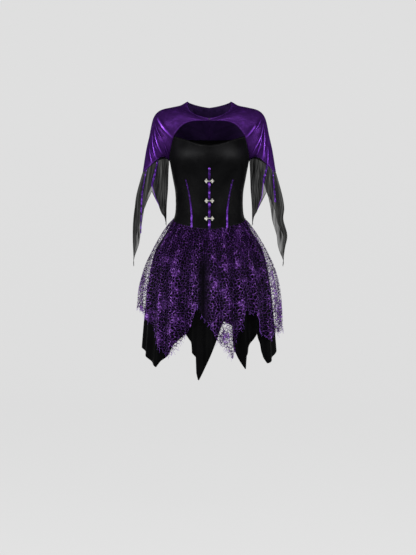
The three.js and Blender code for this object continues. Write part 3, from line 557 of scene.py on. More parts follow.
def onBody(angle, down, lift):
    return bodyPoint(angle, down) + bodyNormal(angle, down) * np.asarray(lift)[..., None]


# The waist seam: level behind, and dropping to a soft point in front.
def waistAt(angle):
    share = np.maximum(0, 1 - np.abs((angle + 180) % 360 - 180) / 90)
    return waistAtSide + waistDip * share * (1 - 0.12 * share**8)


# Rows of angle, down, to angle, to down, height and width. The cloth is pulled out from the clasps, under the
# bust and in at the waist. Each crease is repeated on the other side a little lower.
bodiceCreases = [
    (6, 212, 17, 196, 0.9, 3.5), (5, 222, 24, 212, 0.7, 4), (5, 234, 22, 238, 0.6, 4),
    (8, 205, 12, 190, 0.6, 3), (5, 272, 20, 286, 0.6, 4), (6, 262, 24, 258, 0.5, 4),
    (5, 318, 20, 306, 0.5, 4), (5, 336, 20, 344, 0.5, 4), (24, 205, 58, 214, 1.3, 7),
    (34, 220, 74, 240, 1.2, 8), (48, 236, 84, 268, 0.9, 8), (60, 200, 88, 214, 1.0, 6),
    (64, 310, 88, 322, 1.2, 6), (56, 330, 88, 340, 1.4, 6), (62, 350, 88, 353, 1.1, 5),
    (54, 292, 84, 300, 0.8, 6), (12, 160, 40, 148, -0.6, 6), (8, 168, 48, 164, 0.7, 7),
    (58, 150, 72, 178, 0.8, 5),
]
backCreases = [
    (122, 320, 172, 334, 1.3, 7), (118, 340, 168, 350, 1.5, 7), (112, 300, 158, 308, 1.0, 7),
    (128, 360, 170, 364, 1.2, 6), (130, 160, 170, 190, 0.9, 9), (112, 190, 140, 240, 1.0, 8),
    (96, 324, 118, 330, 1.1, 5), (95, 345, 116, 347, 1.0, 5), (140, 250, 176, 262, 0.8, 8),
]


def bodiceLift(angle, down):
    side = np.where(angle > 180, 360 - angle, np.abs(angle))
    lower = np.where(angle > 180, 3, 0) + np.where(angle < 0, 4, 0)
    # Angles are scaled to millimetres, about two to the degree.
    rows = [(a * 2, b, c * 2, d, h, w) for a, b, c, d, h, w in bodiceCreases + backCreases]
    return creased(side * 2, down - lower, rows) + 0.35 * uneven(angle / 8, down / 24, 3)


def bodicePanel(name, low, high, topAt, columns, rows):
    angle = np.linspace(low, high, columns)[None]
    share = steps(rows)[:, None]
    down = mix(topAt(angle), waistAt(angle), share)
    angle = angle + 0 * down
    edge = np.minimum(share * 14, 1) * np.minimum((1 - share) * 14, 1)
    lift = bodiceLift(angle, down) * edge
    # The cloth sinks into the side seams and is thicker at the hem of the neckline.
    seam = np.minimum(np.abs(angle - low), np.abs(angle - high)) * 2
    lift = lift * np.minimum(seam / 8, 1) - 0.8 * bump(seam, 2.2)
    lift = lift + 0.35 * (bump(down - topAt(angle) - 4, 4.5) + bump(waistAt(angle) - down, 3))
    points = onBody(angle, down, lift)
    behind = np.where(np.abs(angle) <= 90, -1, 1)
    points[..., 1] = behind * np.maximum(behind * points[..., 1], -overlap)
    x, below = np.abs(points[..., 0]), -points[..., 2]
    # A painted highlight round each bust apex, on the front only.
    painted_bust_highlight = bump(x - 62, 34) * bump(below - 176, 20) + 0.35 * bump(x - 50, 60) * bump(below - 150, 22)
    marks = {"painted_bust_highlight": [np.where(points[..., 1] < 0, painted_bust_highlight, 0)]}
    return addPiece(name, [points], jersey, [name], thickness=1.1, marks=marks)


def frontTopAt(angle):
    return lineAt(frontTop, np.abs(angle))


def backTopAt(angle):
    return lineAt(backTop, np.abs(angle - 180))


bodiceFront = bodicePanel("bodice_front", -90, 90, frontTopAt, 161, 111)
bodiceBack = bodicePanel("bodice_back", 90, 270, backTopAt, 101, 81)


# Stitches along the hem of the neckline and above the waist seam, front and back.
def bodiceLine(low, high, downAt):
    angle = np.linspace(low, high, 400)
    down = downAt(angle)
    return onBody(angle, down, 0.4 + 0 * angle), bodyNormal(angle, down)


bodiceLines = [
    bodiceLine(-88, 88, lambda a: frontTopAt(a) + 5),
    bodiceLine(92, 268, lambda a: backTopAt(a) + 8),
    bodiceLine(-88, 88, lambda a: waistAt(a) - 3),
    bodiceLine(92, 268, lambda a: waistAt(a) - 3),
]
addStitches("stitches_bodice", bodiceLines, blackThread)
print("bodice")

# Ribbons.


# A ribbon along a path: an oval section, flat below, that swells at each puff.
def ribbonGrid(path, normals, width, rise, puff, lift=0.5):
    ahead = unit(np.gradient(path, axis=0))
    sideways = unit(np.cross(ahead, normals))
    turn = np.linspace(0, 2 * np.pi, 19)[None, :, None]
    step = np.arange(len(path))
    ends = np.minimum(np.minimum(step, step[::-1]) / 2 + 0.25, 1)[:, None, None]
    half = width / 2 * (0.84 + 0.2 * puff)[:, None, None] * ends**0.4
    height = (rise * (0.55 + 0.6 * puff))[:, None, None] * ends
    over = np.where(np.sin(turn) > 0, height * np.abs(np.sin(turn)) ** 0.8, 0.25 * np.sin(turn))
    grid = path[:, None] + sideways[:, None] * half * np.cos(turn) + normals[:, None] * (lift + over)
    return grid, puff[:, None] + 0 * turn[..., 0]


def bodiceRibbon(name, angleAt, fromDown, width, rise, puffAt):
    share = steps(150)
    down = mix(fromDown, waistAt(angleAt(1.0)) + 1.0, share)
    angle = angleAt(share) + 0 * share
    normals = bodyNormal(angle, down)
    grid, puff = ribbonGrid(bodyPoint(angle, down), normals, width, rise, puffAt(down))
    return addPiece(name, [grid], ribbonCloth, [name], marks={"puff": [puff]}, core=(0, -70, -300))


# Puffs by how far down they are, how long and how full.
puffs = [
    (225, 3.5, 1.0), (234, 3, 0.25), (243, 6, 0.4), (252, 3, 0.3), (275, 6, 1.0), (301, 6, 0.85),
    (314, 5, 0.5), (339, 5.5, 1.1), (364, 6.5, 0.8), (376, 3, 0.35), (393, 4, 0.7), (404, 6, 1.2),
    (417, 4, 0.3),
]
dartLine = {"topAngle": 40.3, "lowAngle": 26.5}


def centrePuff(down):
    return sum(full * bump(down - at, long) for at, long, full in puffs)


def dartPuff(down):
    return mix(0.1, 0.75, limited((down - 270) / 130)) + 0.4 * uneven(down / 4, 0 * down, 7)


def dartAngle(share):
    return mix(dartLine["topAngle"], dartLine["lowAngle"], share)


frontRibbons = [bodiceRibbon("ribbon_centre", lambda s: 0.0 * s, 222, 7.4, 2.0, centrePuff)]
for side, sign in sides.items():
    name = "ribbon_dart_" + side
    frontRibbons.append(bodiceRibbon(name, lambda s, sign=sign: sign * dartAngle(s), 258, 6.2, 1.4, dartPuff))
print("ribbons")

# Clasps.

clasp = {"offset": 9.3, "radius": 7.2, "slim": 0.82, "tilt": 8, "clearance": 1.1}
# A clasp's face from its middle out: how high it is, and how dark its hollows are.
claspFace = table(
    "share height hollow",
    (0, 2.7, 0), (0.12, 2.6, 0), (0.24, 2.0, 0.2), (0.3, 1.2, 1), (0.38, 0.9, 1), (0.46, 1.3, 0.6),
    (0.54, 1.9, 0), (0.62, 1.8, 0.1), (0.7, 1.0, 1), (0.78, 0.9, 1), (0.85, 1.5, 0.3), (0.92, 1.9, 0),
    (0.97, 1.6, 0), (1, 0.8, 0),
)


# Half a clasp: a four-lobed leaf of raised rings with beads between, and a bar to the centre.
def claspHalf():
    turn = np.radians(np.linspace(0, 360, 73))[None]
    share = np.array([0, 0.5, 1] + list(np.linspace(1, 0, 30)))[:, None]
    front = np.arange(len(share))[:, None] >= 3
    row = read(claspFace, share)
    lobes = clasp["radius"] * (0.82 + 0.18 * np.cos(4 * turn))
    beads = 0.5 * np.maximum(np.cos(12 * turn), 0) * bump(share - 0.74, 0.06)
    beads = beads + 0.35 * np.maximum(np.cos(4 * turn), 0) * bump(share - 0.42, 0.12)
    height = np.where(front, row["height"] + beads, 0)
    radius = share * lobes
    points = xyz(-clasp["slim"] * radius * np.cos(turn), -height, radius * np.sin(turn))
    hollow = np.where(front, row["hollow"] * (1 - beads), 0) + 0 * turn
    # The bar, from the leaf to the middle, ending in a small loop.
    along = steps(12)
    arch = np.sin(np.pi * along)
    path = xyz(mix(-4.5, -clasp["offset"] + 0.35, along), -1.3 - 0.5 * arch, 0 * along)
    bar = tubes(path[None], 1.3 - 0.35 * arch, 12)
    return [points, bar[0]], [hollow, 0.3 + 0 * bar[0][..., 0]]


def turned(points, axis, degrees):
    c, s = math.cos(math.radians(degrees)), math.sin(math.radians(degrees))
    a, b = [(1, 2), (2, 0), (0, 1)][axis]
    out = points.copy()
    out[..., a] = points[..., a] * c - points[..., b] * s
    out[..., b] = points[..., a] * s + points[..., b] * c
    return out


for level, down in [("upper", 264.0), ("middle", 327.0), ("lower", 384.0)]:
    slope = bodyNormal(np.array(0.0), np.array(down))
    middle = bodyPoint(np.array(0.0), np.array(down))
    for side, sign in sides.items():
        grids, hollows = claspHalf()
        placed = []
        for grid in grids:
            grid = turned(grid, 1, 180) if sign < 0 else grid
            grid[..., 1] = -np.abs(grid[..., 1])
            grid = turned(turned(grid, 2, sign * clasp["tilt"]), 0, math.degrees(math.asin(-slope[2])))
            placed.append(grid + middle + np.array([sign * clasp["offset"], -clasp["clearance"], 0]))
        name = f"clasp_{level}_{side}"
        core = placed[0].reshape(-1, 3).mean(0)
        addPiece(name, placed, silver, [name], marks={"hollow": hollows}, core=core)
print("clasps")

# Yoke.

shoulderLine = table(
    "u x y down",
    (0, 70, 15, -2), (0.03, 75, 15, 0), (0.12, 95, 14, 11), (0.22, 123, 11, 18), (0.34, 157, 7, 27),
    (0.42, 174, 5, 40), (0.52, 185, 3, 62), (0.68, 195, 1, 111), (0.84, 206, 0, 160), (1, 217, 0, 229),
)
keyhole = table(
    "u x y down",
    (0, halfGap, -67, 60), (hookAt, halfGap, -68, 67), (0.07, 12, -69, 68.5), (0.14, 36, -69.5, 69),
    (0.21, 57, -68.5, 71.5), (0.29, 79, -65, 79), (0.38, 99, -61, 96),
)
centreBack = table(
    "u x y down",
    (0, halfGap, 60, 14), (0.05, halfGap, 69, 40), (0.1, halfGap, 84, 78),
)
frontArcs = table(
    "u outTop awayTop sinkTop outLow awayLow riseLow",
    (0, 8, 35, 34, 44, -6, 6), (0.03, 6, 38, 28, 46, -4, 8), (0.12, 2, 45, 10, 34, 2, 18),
    (0.22, -4, 48, 2, 26, 4, 26), (0.34, -2, 46, 2, 28, 6, 26), (0.42, 2, 43, 6, 34, 10, 20),
    (0.52, 1, 40, 9, 34, 16, 20), (0.68, 2, 46, 4, 24, 31, 18), (0.84, -2, 52, 2, 17, 42, 21),
    (1, -10, 56, 12, 18, 56, 46),
)
backArcs = table(
    "u outTop awayTop sinkTop outLow awayLow riseLow",
    (0, 2, 27, 2, 35, 0, 4), (0.05, 2, 34, 2, 40, 0, 20), (0.15, 0, 50, 4, 34, 2, 56),
    (0.3, -2, 54, 4, 26, 5, 50), (0.45, 2, 48, 8, 30, 11, 34), (0.52, 1, 43, 9, 33, 18, 24),
    (0.68, 2, 46, 4, 24, 31, 18), (0.84, -2, 52, 2, 17, 42, 21), (1, -10, 56, -10, 18, 56, 34),
)
# Creases of each cap sleeve in front, as rows of u, v, to u, to v, height and width. One unit of u is about
# 300 mm, and v is halved to match.
capCreases = {
    "right": [
        (0.43, 0.32, 0.47, 0.97, 3.6, 0.022), (0.5, 0.33, 0.625, 0.75, 2.6, 0.015),
        (0.57, 0.37, 0.85, 0.71, 4.2, 0.026), (0.64, 0.28, 0.98, 0.57, 3.4, 0.018),
        (0.8, 0.24, 1.0, 0.45, 2.4, 0.02), (0.64, 0.78, 0.78, 0.95, 2.2, 0.014),
        (0.72, 0.76, 0.87, 0.9, 2.0, 0.013), (0.5, 0.56, 0.57, 0.96, -2.4, 0.03),
        (0.2, 0.3, 0.3, 0.95, 1.0, 0.04), (0.06, 0.55, 0.2, 0.85, 1.1, 0.02),
    ],
    "left": [
        (0.435, 0.62, 0.468, 0.98, 3.0, 0.018), (0.44, 0.36, 0.477, 0.77, 2.4, 0.016),
        (0.5, 0.34, 0.775, 0.83, 3.6, 0.02), (0.6, 0.48, 0.92, 0.73, 3.0, 0.016),
        (0.54, 0.34, 0.99, 0.54, 4.0, 0.021), (0.8, 0.31, 1.0, 0.4, 2.8, 0.018),
        (0.62, 0.05, 0.8, 0.21, 1.4, 0.02), (0.54, 0.66, 0.62, 0.97, -2.4, 0.03),
        (0.24, 0.3, 0.33, 0.9, 1.0, 0.04), (0.07, 0.6, 0.18, 0.9, 1.1, 0.02),
    ],
}
backYokeCreases = [
    (0.44, 0.3, 0.5, 0.95, 4.6, 0.026), (0.5, 0.32, 0.7, 0.88, 5.2, 0.027),
    (0.58, 0.28, 0.88, 0.7, 5.4, 0.03), (0.68, 0.22, 0.98, 0.5, 4.6, 0.03),
    (0.6, 0.6, 0.82, 0.94, 3.6, 0.02), (0.36, 0.4, 0.42, 0.95, 2.0, 0.03),
    (0.16, 0.5, 0.3, 0.9, 1.4, 0.03), (0.04, 0.35, 0.14, 0.9, 1.2, 0.025),
]


def armholeAngle(u):
    return mix(cornerAngle, 90, limited((u - cornerAt) / (1 - cornerAt)))


# A yoke's lower edge from u 0 to 1: the keyhole to the bodice's corner, then the armhole.
def lowerFrontEdge(u):
    corner = onBody(np.array(cornerAngle), np.array(cornerDown), yokeSeam["lift"])
    rows = {"u": keyhole["u"] + [cornerAt], "x": keyhole["x"] + [corner[0]]}
    rows.update(y=keyhole["y"] + [corner[1]], down=keyhole["down"] + [-corner[2]])
    spot = read(rows, np.minimum(u, cornerAt))
    inside = xyz(np.maximum(spot["x"], -overlap), spot["y"], -spot["down"])
    angle = armholeAngle(u)
    armhole = onBody(angle, lineAt(frontTop, angle) + yokeSeam["drop"], yokeSeam["lift"] + 0 * u)
    return np.where((u <= cornerAt)[..., None], inside, armhole)


# Down the centre back, along the top of the back bodice, then up the armhole.
def lowerBackEdge(u):
    def seam(angle):
        return onBody(180 - angle, lineAt(backTop, angle) + yokeSeam["drop"], yokeSeam["lift"] + 0 * angle)

    low = seam(np.array(0.0))
    rows = {"u": centreBack["u"] + [centreBackAt], "y": centreBack["y"] + [low[1]]}
    rows["down"] = centreBack["down"] + [-low[2]]
    spot = read(rows, np.minimum(u, centreBackAt))
    middle = xyz(-overlap + 0 * u, spot["y"], -spot["down"])
    level = seam(np.clip(cornerAngle * (u - centreBackAt) / (cornerAt - centreBackAt), 0, cornerAngle))
    lower = np.where((u <= cornerAt)[..., None], level, seam(armholeAngle(u)))
    return np.where((u <= centreBackAt)[..., None], middle, lower)


# A cubic arc from the shoulder line (v 0) to the lower edge (v 1), at the wearer's left.
def plainYoke(half, u, v):
    away, edge, arcs = (-1, lowerFrontEdge, frontArcs) if half == "front" else (1, lowerBackEdge, backArcs)
    u, v = limited(u + 0 * v), limited(v + 0 * u)
    top, arc = read(shoulderLine, u), read(arcs, u)
    start = xyz(top["x"], top["y"] + away * 0.05, -top["down"])
    end = edge(u)
    leave = start + xyz(arc["outTop"], away * arc["awayTop"], -arc["sinkTop"])
    arrive = end + xyz(arc["outLow"], away * arc["awayLow"], arc["riseLow"])
    v = v[..., None]
    return (1 - v) ** 3 * start + 3 * (1 - v) ** 2 * v * leave + 3 * (1 - v) * v * v * arrive + v**3 * end


def yokeNormal(half, u, v):
    return normalsOf(lambda a, b: plainYoke(half, a, b), u, v, 0.01, 0.02, -1 if half == "front" else 1)


def ridgeRows(half, side):
    rows = capCreases[side] if half == "front" else backYokeCreases
    shift = 0.012 if side == "left" and half == "back" else 0
    return [(a - shift, b / 2, c - shift, d / 2, h, w) for a, b, c, d, h, w in rows]


# Painted light of the foil: a narrow painted highlight on the crest of each ridge, less a wider band of
# painted shade round it.
def paintedRidgeLightAt(half, side, u, v):
    rows = [row for row in ridgeRows(half, side) if row[4] > 1.8]
    paintedCrestHighlight = creased(u, v / 2, [(*row[:4], min(row[4] / 3, 1.1), row[5] * 0.5) for row in rows])
    paintedShadeBand = creased(u, v / 2, [(*row[:4], 0.55, row[5] * 1.6) for row in rows])
    return np.clip(1.25 * paintedCrestHighlight - np.minimum(paintedShadeBand, 0.6), -0.4, 1)


def yokePoint(half, side, u, v):
    ridges = creased(u, v / 2, ridgeRows(half, side))
    # The cloth sinks between the ridges, about as much as they rise.
    lift = ridges - 2.2 * bump((u - 0.72) / 0.24, 1) + 0.15 * uneven(u * 30, v * 15, 11)
    settled = np.minimum(1, (1 - v) * 5) * np.minimum(1, v * 7)
    lift = lift * settled - 0.5 * bump(v / 0.02, 1)
    point = plainYoke(half, u, v) + yokeNormal(half, u, v) * lift[..., None]
    point[..., 0] = np.maximum(point[..., 0], -overlap) * sides[side]
    return point


for half in ["front", "back"]:
    for side, sign in sides.items():
        u = steps(141)[:, None]
        v = steps(81)[None]
        name = f"yoke_{half}_{side}"
        points = yokePoint(half, side, u, v)
        core = (sign * 120, 0, -150)
        # The foil's painted highlights on its ridges and painted shade beside them.
        marks = {"painted_ridge_light": [paintedRidgeLightAt(half, side, u, v)]}
        addPiece(
            name, [points], foil, [name], thickness=1.1, marks=marks, core=core, inside=foilInside
        )


# A line of yoke points between two ends (u, v), with its normals.
def yokeLine(half, side, start, end):
    share = steps(160)
    u, v = (mix(a, b, share) for a, b in zip(start, end))
    mirror = np.array([sides[side], 1, 1])
    return yokePoint(half, side, u, v), yokeNormal(half, u, v) * mirror


yokeSeams = [
    ("front", (0.012, 0.01), (0.012, 0.97)), ("front", (0.04, 0.972), (0.44, 0.972)),
    ("front", (0.984, 0.01), (0.984, 0.99)), ("back", (0.012, 0.01), (0.012, 0.97)),
    ("back", (0.984, 0.01), (0.984, 0.99)), ("back", (0.02, 0.982), (0.15, 0.982)),
    ("back", (0.16, 0.975), (0.98, 0.975)),
]
yokeLines = [yokeLine(half, side, start, end) for side in sides for half, start, end in yokeSeams]
addStitches("stitches_yoke", yokeLines, purpleThread)
print("yoke")

# Neck hook.

hookDown = 63.5


def addNeckHook():
    near = plainYoke("front", np.array([0.0, hookAt, 0.05]), np.array([1.0, 1.0, 0.97]))
    front = near[..., 1].min() - 0.35
    turn = np.linspace(0, 2 * np.pi, 49)
    share = np.array([0, 0.6, 1, 1.04, 1, 0.85, 0.6, 0.5, 0.3, 0])[:, None]
    height = np.array([0, 0, 0, 0.3, 0.75, 0.85, 0.7, 0.5, 0.55, 0.6])[:, None]
    # A rounded oblong: a superellipse of power 3.
    round3 = (np.abs(np.cos(turn)) ** 3 + np.abs(np.sin(turn)) ** 3) ** (-1 / 3)
    x = 3.5 * share * round3 * np.cos(turn)
    z = 2 * share * round3 * np.sin(turn)
    points = xyz(x, front - height + 0 * turn, z - hookDown)
    addPiece("neck_hook", [points], enamel, ["neck_hook"], core=(0, front - 0.3, -hookDown))


addNeckHook()

# Sleeve falls.

armRings = table(
    "down x side depth",
    (160, 168, 37, 42), (190, 170, 39, 43), (224, 174.5, 41.5, 45), (286, 183, 48, 50), (322, 187, 50, 51),
    (403, 191, 53, 52), (540, 195, 54, 52),
)
# The pointed hem of each sleeve fall, round the arm.
fallStart = [(-90, 396), (-78, 404)]
fallBehind = [(77, 536), (98, 500), (130, 402), (174, 290), (215, 346), (252, 400), (270, 396)]
fallHem = {
    "left": table(
        "angle down",
        *fallStart, (-44, 362), (-20, 312), (-8, 264), (5, 316), (14, 390), (31, 462), (60, 516),
        *fallBehind,
    ),
    "right": table(
        "angle down",
        *fallStart, (-44, 367), (-12, 307), (4, 274), (17, 316), (28, 388), (43, 462), (62, 516),
        *fallBehind,
    ),
}
fallSeams = {
    "left": table(
        "down front outer",
        (160, 22, 60), (212, 14, 54), (237, 2, 46), (264, -8, 34), (330, -9, 27), (540, -9, 26)
    ),
    "right": table(
        "down front outer",
        (160, -24, 60), (190, -18, 54), (225, -8, 47), (270, 2, 38), (335, 3, 34), (540, 4, 33)
    ),
}
sway = {
    "left": table("down out", (160, 0), (300, 2), (345, 3), (383, -5), (436, 5), (475, -2), (540, -9)),
    "right": table("down out", (160, 0), (300, 2), (403, 1), (540, -2)),
}


# The hem of a cap sleeve round the arm. All of a sleeve is worked out at the wearer's left.
def capHem(side, angle):
    v = limited(np.abs(90 - angle) / 180)
    one = 1 + 0 * v
    hems = [yokePoint(half, side, one, v) for half in ("front", "back")]
    hem = np.where((angle <= 90)[..., None], hems[0], hems[1])
    hem[..., 0] = np.abs(hem[..., 0])
    return hem


# An oval tube down the arm, with five soft folds that grow downwards and finer ones on them.
def armTube(side, angle, down):
    ring = read(armRings, down)
    turn = np.radians(angle)
    swing = read(sway[side], down)["out"] * np.maximum(0, np.sin(turn))
    grown = limited((down - 200) / 160)
    fold = 2.6 * np.sin(5 * turn + down / 60) * grown
    fold = fold + 1.1 * np.sin(11 * turn - down / 45 + 1) * grown + 0.8 * uneven(angle / 7, down / 50, 5)
    x = ring["x"] + (ring["side"] + fold) * np.sin(turn) + swing
    return xyz(x, -(ring["depth"] + fold) * np.cos(turn), -down)


# The arm's tube, drawn to the hem of the cap over the first part of its length.
def fallPoint(side, angle, down):
    hem = capHem(side, angle)
    shift = hem - armTube(side, angle, -hem[..., 2])
    share = (1 - limited((down + hem[..., 2]) / 110)) ** 2
    return armTube(side, angle, down) + shift * share[..., None]


def fallNormal(side, angle, down):
    return normalsOf(lambda a, b: fallPoint(side, a, b), angle, down, 0.5, 1.5, -1)


# A gore between seams: each column's angle follows from how far down it has come.
def goreGrid(side, edges, columns, rows):
    column = np.linspace(0, len(edges) - 1, columns)[None]
    share = steps(rows)[:, None]
    k = np.minimum(np.floor(column).astype(int), len(edges) - 2)

    def angleAt(down):
        seams = np.stack([edge(down + 0 * column) for edge in edges])
        before = (k + 0 * down).astype(int)[None]
        low, high = (np.take_along_axis(seams, before + n, 0)[0] for n in (0, 1))
        return mix(low, high, column - k)

    angle = angleAt(300 + 0 * share + 0 * column)
    for _ in range(5):
        top = -capHem(side, angle)[..., 2] - 1.5
        hem = lineAt(fallHem[side], angle)
        down = mix(top, hem, share)
        angle = angleAt(down)
    points = fallPoint(side, angle, down)
    sink = 0.9 * limited(1 - (down - top) / 8)
    return points - fallNormal(side, angle, down) * sink[..., None], hem - down


# The angle of a seam of the fall by how far down it is.
def fallSeam(side, which):
    return lambda down: read(fallSeams[side], down)[which]


def sleeveRibbon(side, which, endDown):
    angleAt = fallSeam(side, which)
    down = np.full(1, 200.0)
    for _ in range(8):
        down = -capHem(side, angleAt(down))[..., 2] + 1.5
    down = np.linspace(down[0], endDown, 120)
    angle = angleAt(down)
    path = fallPoint(side, angle, down)
    mirror = np.array([sides[side], 1, 1])
    puff = 0.45 + 0.55 * uneven(down / 4, 0 * down, 4)
    grid, puff = ribbonGrid(path, fallNormal(side, angle, down), 6.2, 1.3, puff)
    name = f"ribbon_sleeve_{which}_{side}"
    core = path.mean(0) * mirror + [0, 30, 0]
    return addPiece(name, [grid * mirror], ribbonCloth, [name], marks={"puff": [puff]}, core=core)


ribbonEnds = {"left": (269, 330), "right": (280, 430)}
gorePieces, sleeveRibbons, rolled, purpleEdges = {}, {}, [], []
for side, sign in sides.items():
    front, outer = fallSeam(side, "front"), fallSeam(side, "outer")
    gores = {
        "inner": ([lambda d: -90 + 0 * d, front], 61),
        "outer": ([front, outer], 31),
        "back": ([outer, lambda d: 90 + 0 * d, lambda d: 270 + 0 * d], 91),
    }
    for gore, (edges, columns) in gores.items():
        points, toEdge = goreGrid(side, edges, columns, 71)
        points = points * np.array([sign, 1, 1])
        name = f"gore_{gore}_{side}"
        marks, core = {"toEdge": [toEdge]}, (sign * 185, 0, -300)
        gorePieces[name] = addPiece(name, [points], chiffon, [name], marks=marks, core=core)
        rolled.append(tubes(points[None, -1], np.full(points.shape[1], 0.55), 8))
        if gore == "inner":
            # The ribbon's thread runs on as a thin purple edge from the point up to the notch.
            edge = points[-1, 34:]
            purpleEdges.append(tubes(edge[None], np.linspace(0.45, 1.25, len(edge))[None], 8))
    sleeveRibbons[side] = [
        sleeveRibbon(side, which, end) for which, end in zip(["front", "outer"], ribbonEnds[side])
    ]
addPiece("rolled_hems", rolled, blackThread)
addPiece("sleeve_edges", purpleEdges, purpleThread)
print("sleeves")

# Skirts.

underRings = table(
    "down side front back",
    (382, 116, 89, 91.5), (430, 143, 101, 106), (484, 175, 128, 130), (582, 196, 158, 160),
    (679, 207, 178, 180), (793, 216, 194, 196), (910, 225, 205, 206),
)
netRings = table(
    "down side front back",
    (382, 118, 91, 93.5), (400, 133, 97, 105), (432, 156, 112, 126), (474, 180, 142, 148),
    (526, 205, 168, 172), (569, 219, 184, 187), (614, 228, 195, 197), (679, 233, 203, 204),
    (754, 235, 208, 208), (860, 235, 212, 212),
)
underHem = table(
    "angle down",
    (-90, 788), (-79, 802), (-61, 834), (-48.4, 856), (-45.5, 836), (-30, 780), (-22.2, 749), (-14.9, 775),
    (-14.3, 807), (-10.8, 821), (-10.3, 870), (-8.8, 896), (0.6, 820), (6.4, 767), (13.1, 710),
    (21.9, 729), (23, 806), (30.1, 863), (31.3, 819), (42, 769), (46.2, 741), (49.3, 771), (53, 789),
    (54.2, 822), (57.5, 846), (74, 821), (90, 788),
)
netHem = table(
    "angle down",
    (-90, 670), (-73, 674), (-64, 692), (-57.9, 703), (-50, 745), (-43.3, 791), (-37.2, 812), (-32.3, 829),
    (-22, 762), (-14.1, 725), (-9.4, 659), (-5.8, 698), (1.2, 724), (5, 766), (12.9, 803), (18.8, 829),
    (20.9, 800), (25, 731), (31, 671), (37.5, 680), (45.3, 735), (56.9, 777), (66.7, 745), (76.4, 756),
    (90, 716),
)
underFolds = table(
    "angle crest valley",
    (-82, 3, 8), (-66, 4, 8), (-50, 6, 22), (-31, 3, 19), (-12.5, 8, 18), (4, 3, 22), (19, 3, 14),
    (31, 7, 19), (46, 3, 14), (61, 6, 9), (79, 3, 10),
)
netFolds = table(
    "angle crest valley",
    (-84, 5, 20), (-72, 4, 17), (-58, 5, 22), (-44, 3, 15), (-31, 6, 29), (-12, 5, 32), (4, 6, 15),
    (14, 5, 27), (27, 3, 17), (40, 6, 27), (56, 4, 19), (69, 4, 17), (82, 5, 20),
)


# The cloth of a skirt, in metres, to a radian round and to a millimetre down.
uvRound, uvDown = 0.22, 0.00105
# Just to the wearer's right of centre front the net falls into a deeper fold. Painted shade: there its
# threads are hidden, so that the black satin shows through dark.
shadedFold = {"angle": -5.5, "width": 4.4, "from": 490}


# The front's rows of a table, then the same rows behind, once round the body.
def allRound(front):
    rows = {key: list(column) + list(column)[::-1] + [column[0]] for key, column in front.items()}
    rows["angle"] = front["angle"] + [180 - a for a in front["angle"][::-1]] + [front["angle"][0] + 360]
    return {key: np.array(column, float) for key, column in rows.items()}


underFolds, netFolds = allRound(underFolds), allRound(netFolds)


# How far a skirt stands out: a crest at each row, and a valley before the next.
def foldAt(folds, angle):
    x = folds["angle"]
    place = (angle - x[0]) % 360 + x[0]
    i = np.clip(np.searchsorted(x, place, side="right") - 1, 0, len(x) - 2)
    t = (place - x[i]) / (x[i + 1] - x[i])
    crest, valley = folds["crest"], folds["valley"]
    return mix(crest[i], crest[i + 1], ease(t)) - valley[i] * np.sin(np.pi * t) ** 2


def ringPoint(rings, angle, down, out):
    ring = read(rings, down)
    turn = np.radians(angle)
    depth = np.where(np.cos(turn) > 0, ring["front"], ring["back"])
    return xyz((ring["side"] + out) * np.sin(turn), -(depth + out) * np.cos(turn), -down)


# Folds open from the waist seam to the hem.
def opening(angle, down):
    return limited((down - waistAt(angle)) / 430) ** 0.8


def underPoint(angle, down):
    opened = opening(angle, down)
    small = 1.6 * uneven(angle / 5, down / 190, 9) * np.minimum(opened * 3, 1)
    return ringPoint(underRings, angle, down, foldAt(underFolds, angle) * opened + small)


# Gathers under the waist seam: 190 waves round, in bunches of uneven depth and length.
def gatherAt(angle, below):
    bunch = 0.5 + 0.5 * uneven(angle / 3.1, 0 * angle, 6)
    fade = limited(1 - below / (62 + 46 * bunch)) ** 1.2
    fine = np.sin(np.radians(angle) * 190 + 2.2 * uneven(angle / 5, below / 60, 2))
    coarse = np.sin(np.radians(angle) * 50 + 1.5 * uneven(angle / 9, below / 90, 8))
    return (1.0 * fine + 1.3 * coarse) * (0.6 + 0.6 * bunch) * fade


def netOut(angle, down):
    below = down - waistAt(angle)
    small = 2.8 * uneven(angle / 2.4, down / 210, 5) * limited(below / 60)
    return foldAt(netFolds, angle) * opening(angle, down) + gatherAt(angle, below) + small


# How much a spot stands out from those 4 degrees to either side of it, in mm.
def crestAt(angle, down):
    return netOut(angle, down) - (netOut(angle - 4, down) + netOut(angle + 4, down)) / 2


# The net's own section and folds, pushed out softly where it lies on the satin.
def netPoint(angle, down):
    below = down - waistAt(angle)
    point = ringPoint(netRings, angle, down, netOut(angle, down))
    under = underPoint(angle, down)
    outwards = xyz(np.sin(np.radians(angle)), -np.cos(np.radians(angle)), 0 * angle)
    share = limited(below / 60)
    spare = ((point - under) * outwards).sum(-1) - mix(1.0, 2.6, share)
    softness = mix(0.1, 1.2, share)
    push = np.where(spare > 0, np.exp(-np.maximum(spare, 0) / softness) * softness, softness - spare)
    tucked = -1.6 * bump(below, 5)
    return point + outwards * (push + tucked)[..., None]


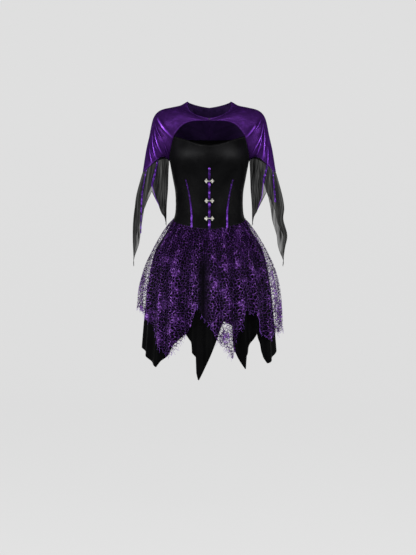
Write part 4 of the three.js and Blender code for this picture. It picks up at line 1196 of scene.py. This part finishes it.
def skirtPanel(name, surface, hem, back, columns, rows, cloth, thickness):
    angle = np.linspace(-90, 90, columns)[None]
    bottom = lineAt(hem, angle)
    angle = 180 - angle if back else angle
    top = waistAt(angle) - 2.5
    share = steps(rows)[:, None] ** 1.35
    down = mix(top, bottom, share)
    angle = angle + 0 * down
    points = surface(angle, down)
    side = 1 if back else -1
    points[..., 1] = side * np.maximum(side * points[..., 1], -overlap)
    uv = np.stack([np.radians(angle) * uvRound, (waistAt(angle) - down) * uvDown], -1)
    # Painted shade: how far the net's threads are hidden in the fold right of centre front.
    foldShade = bump(angle - shadedFold["angle"], shadedFold["width"]) * ease(limited((down - shadedFold["from"]) / 60))
    # How far the net stands out here, which the material turns into a painted highlight on crests and painted
    # shade in troughs.
    crest = np.clip(crestAt(angle, down) / 3.5, -1, 1)
    marks = {"toEdge": [bottom - down], "painted_lit_share": [1 - 0.96 * foldShade], "crest": [crest]}
    return addPiece(name, [points], cloth, [name], thickness=thickness, uvs=[uv], marks=marks)


for half in ["front", "back"]:
    back = half == "back"
    name = "underskirt_" + half
    skirtPanel(name, underPoint, underHem, back, 281, 51, satin, 1.0)
    name = "net_skirt_" + half
    skirtPanel(name, netPoint, netHem, back, 721, 81, net, 0)


# Loose ends of the net along its hem. Each runs down and aside from the hem, and curls.
def addStrands(count=260):
    rng = np.random.default_rng(4)
    angle = rng.uniform(-90, 270, count)[:, None]
    front = np.where(angle > 90, 180 - angle, angle)
    hem = lineAt(netHem, front)
    along = steps(8)[None]
    reach = rng.uniform(5, 17, (count, 1))
    curl = rng.uniform(-7, 7, (count, 1))
    turn = rng.uniform(0, 6.3, (count, 1))
    aside = curl * along + 2.2 * np.sin(5 * along + turn) * along
    points = netPoint(angle + aside / 3.6, hem - 3 + reach * along)
    out = unit(points * np.array([1, 1, 0])) * (0.6 + 1.6 * along * np.cos(turn) ** 2)[..., None]
    addPiece("net_strands", [tubes(points + out, 0.34 - 0.12 * along + 0 * turn, 5)], purpleThread)


addStrands()
print("skirts")
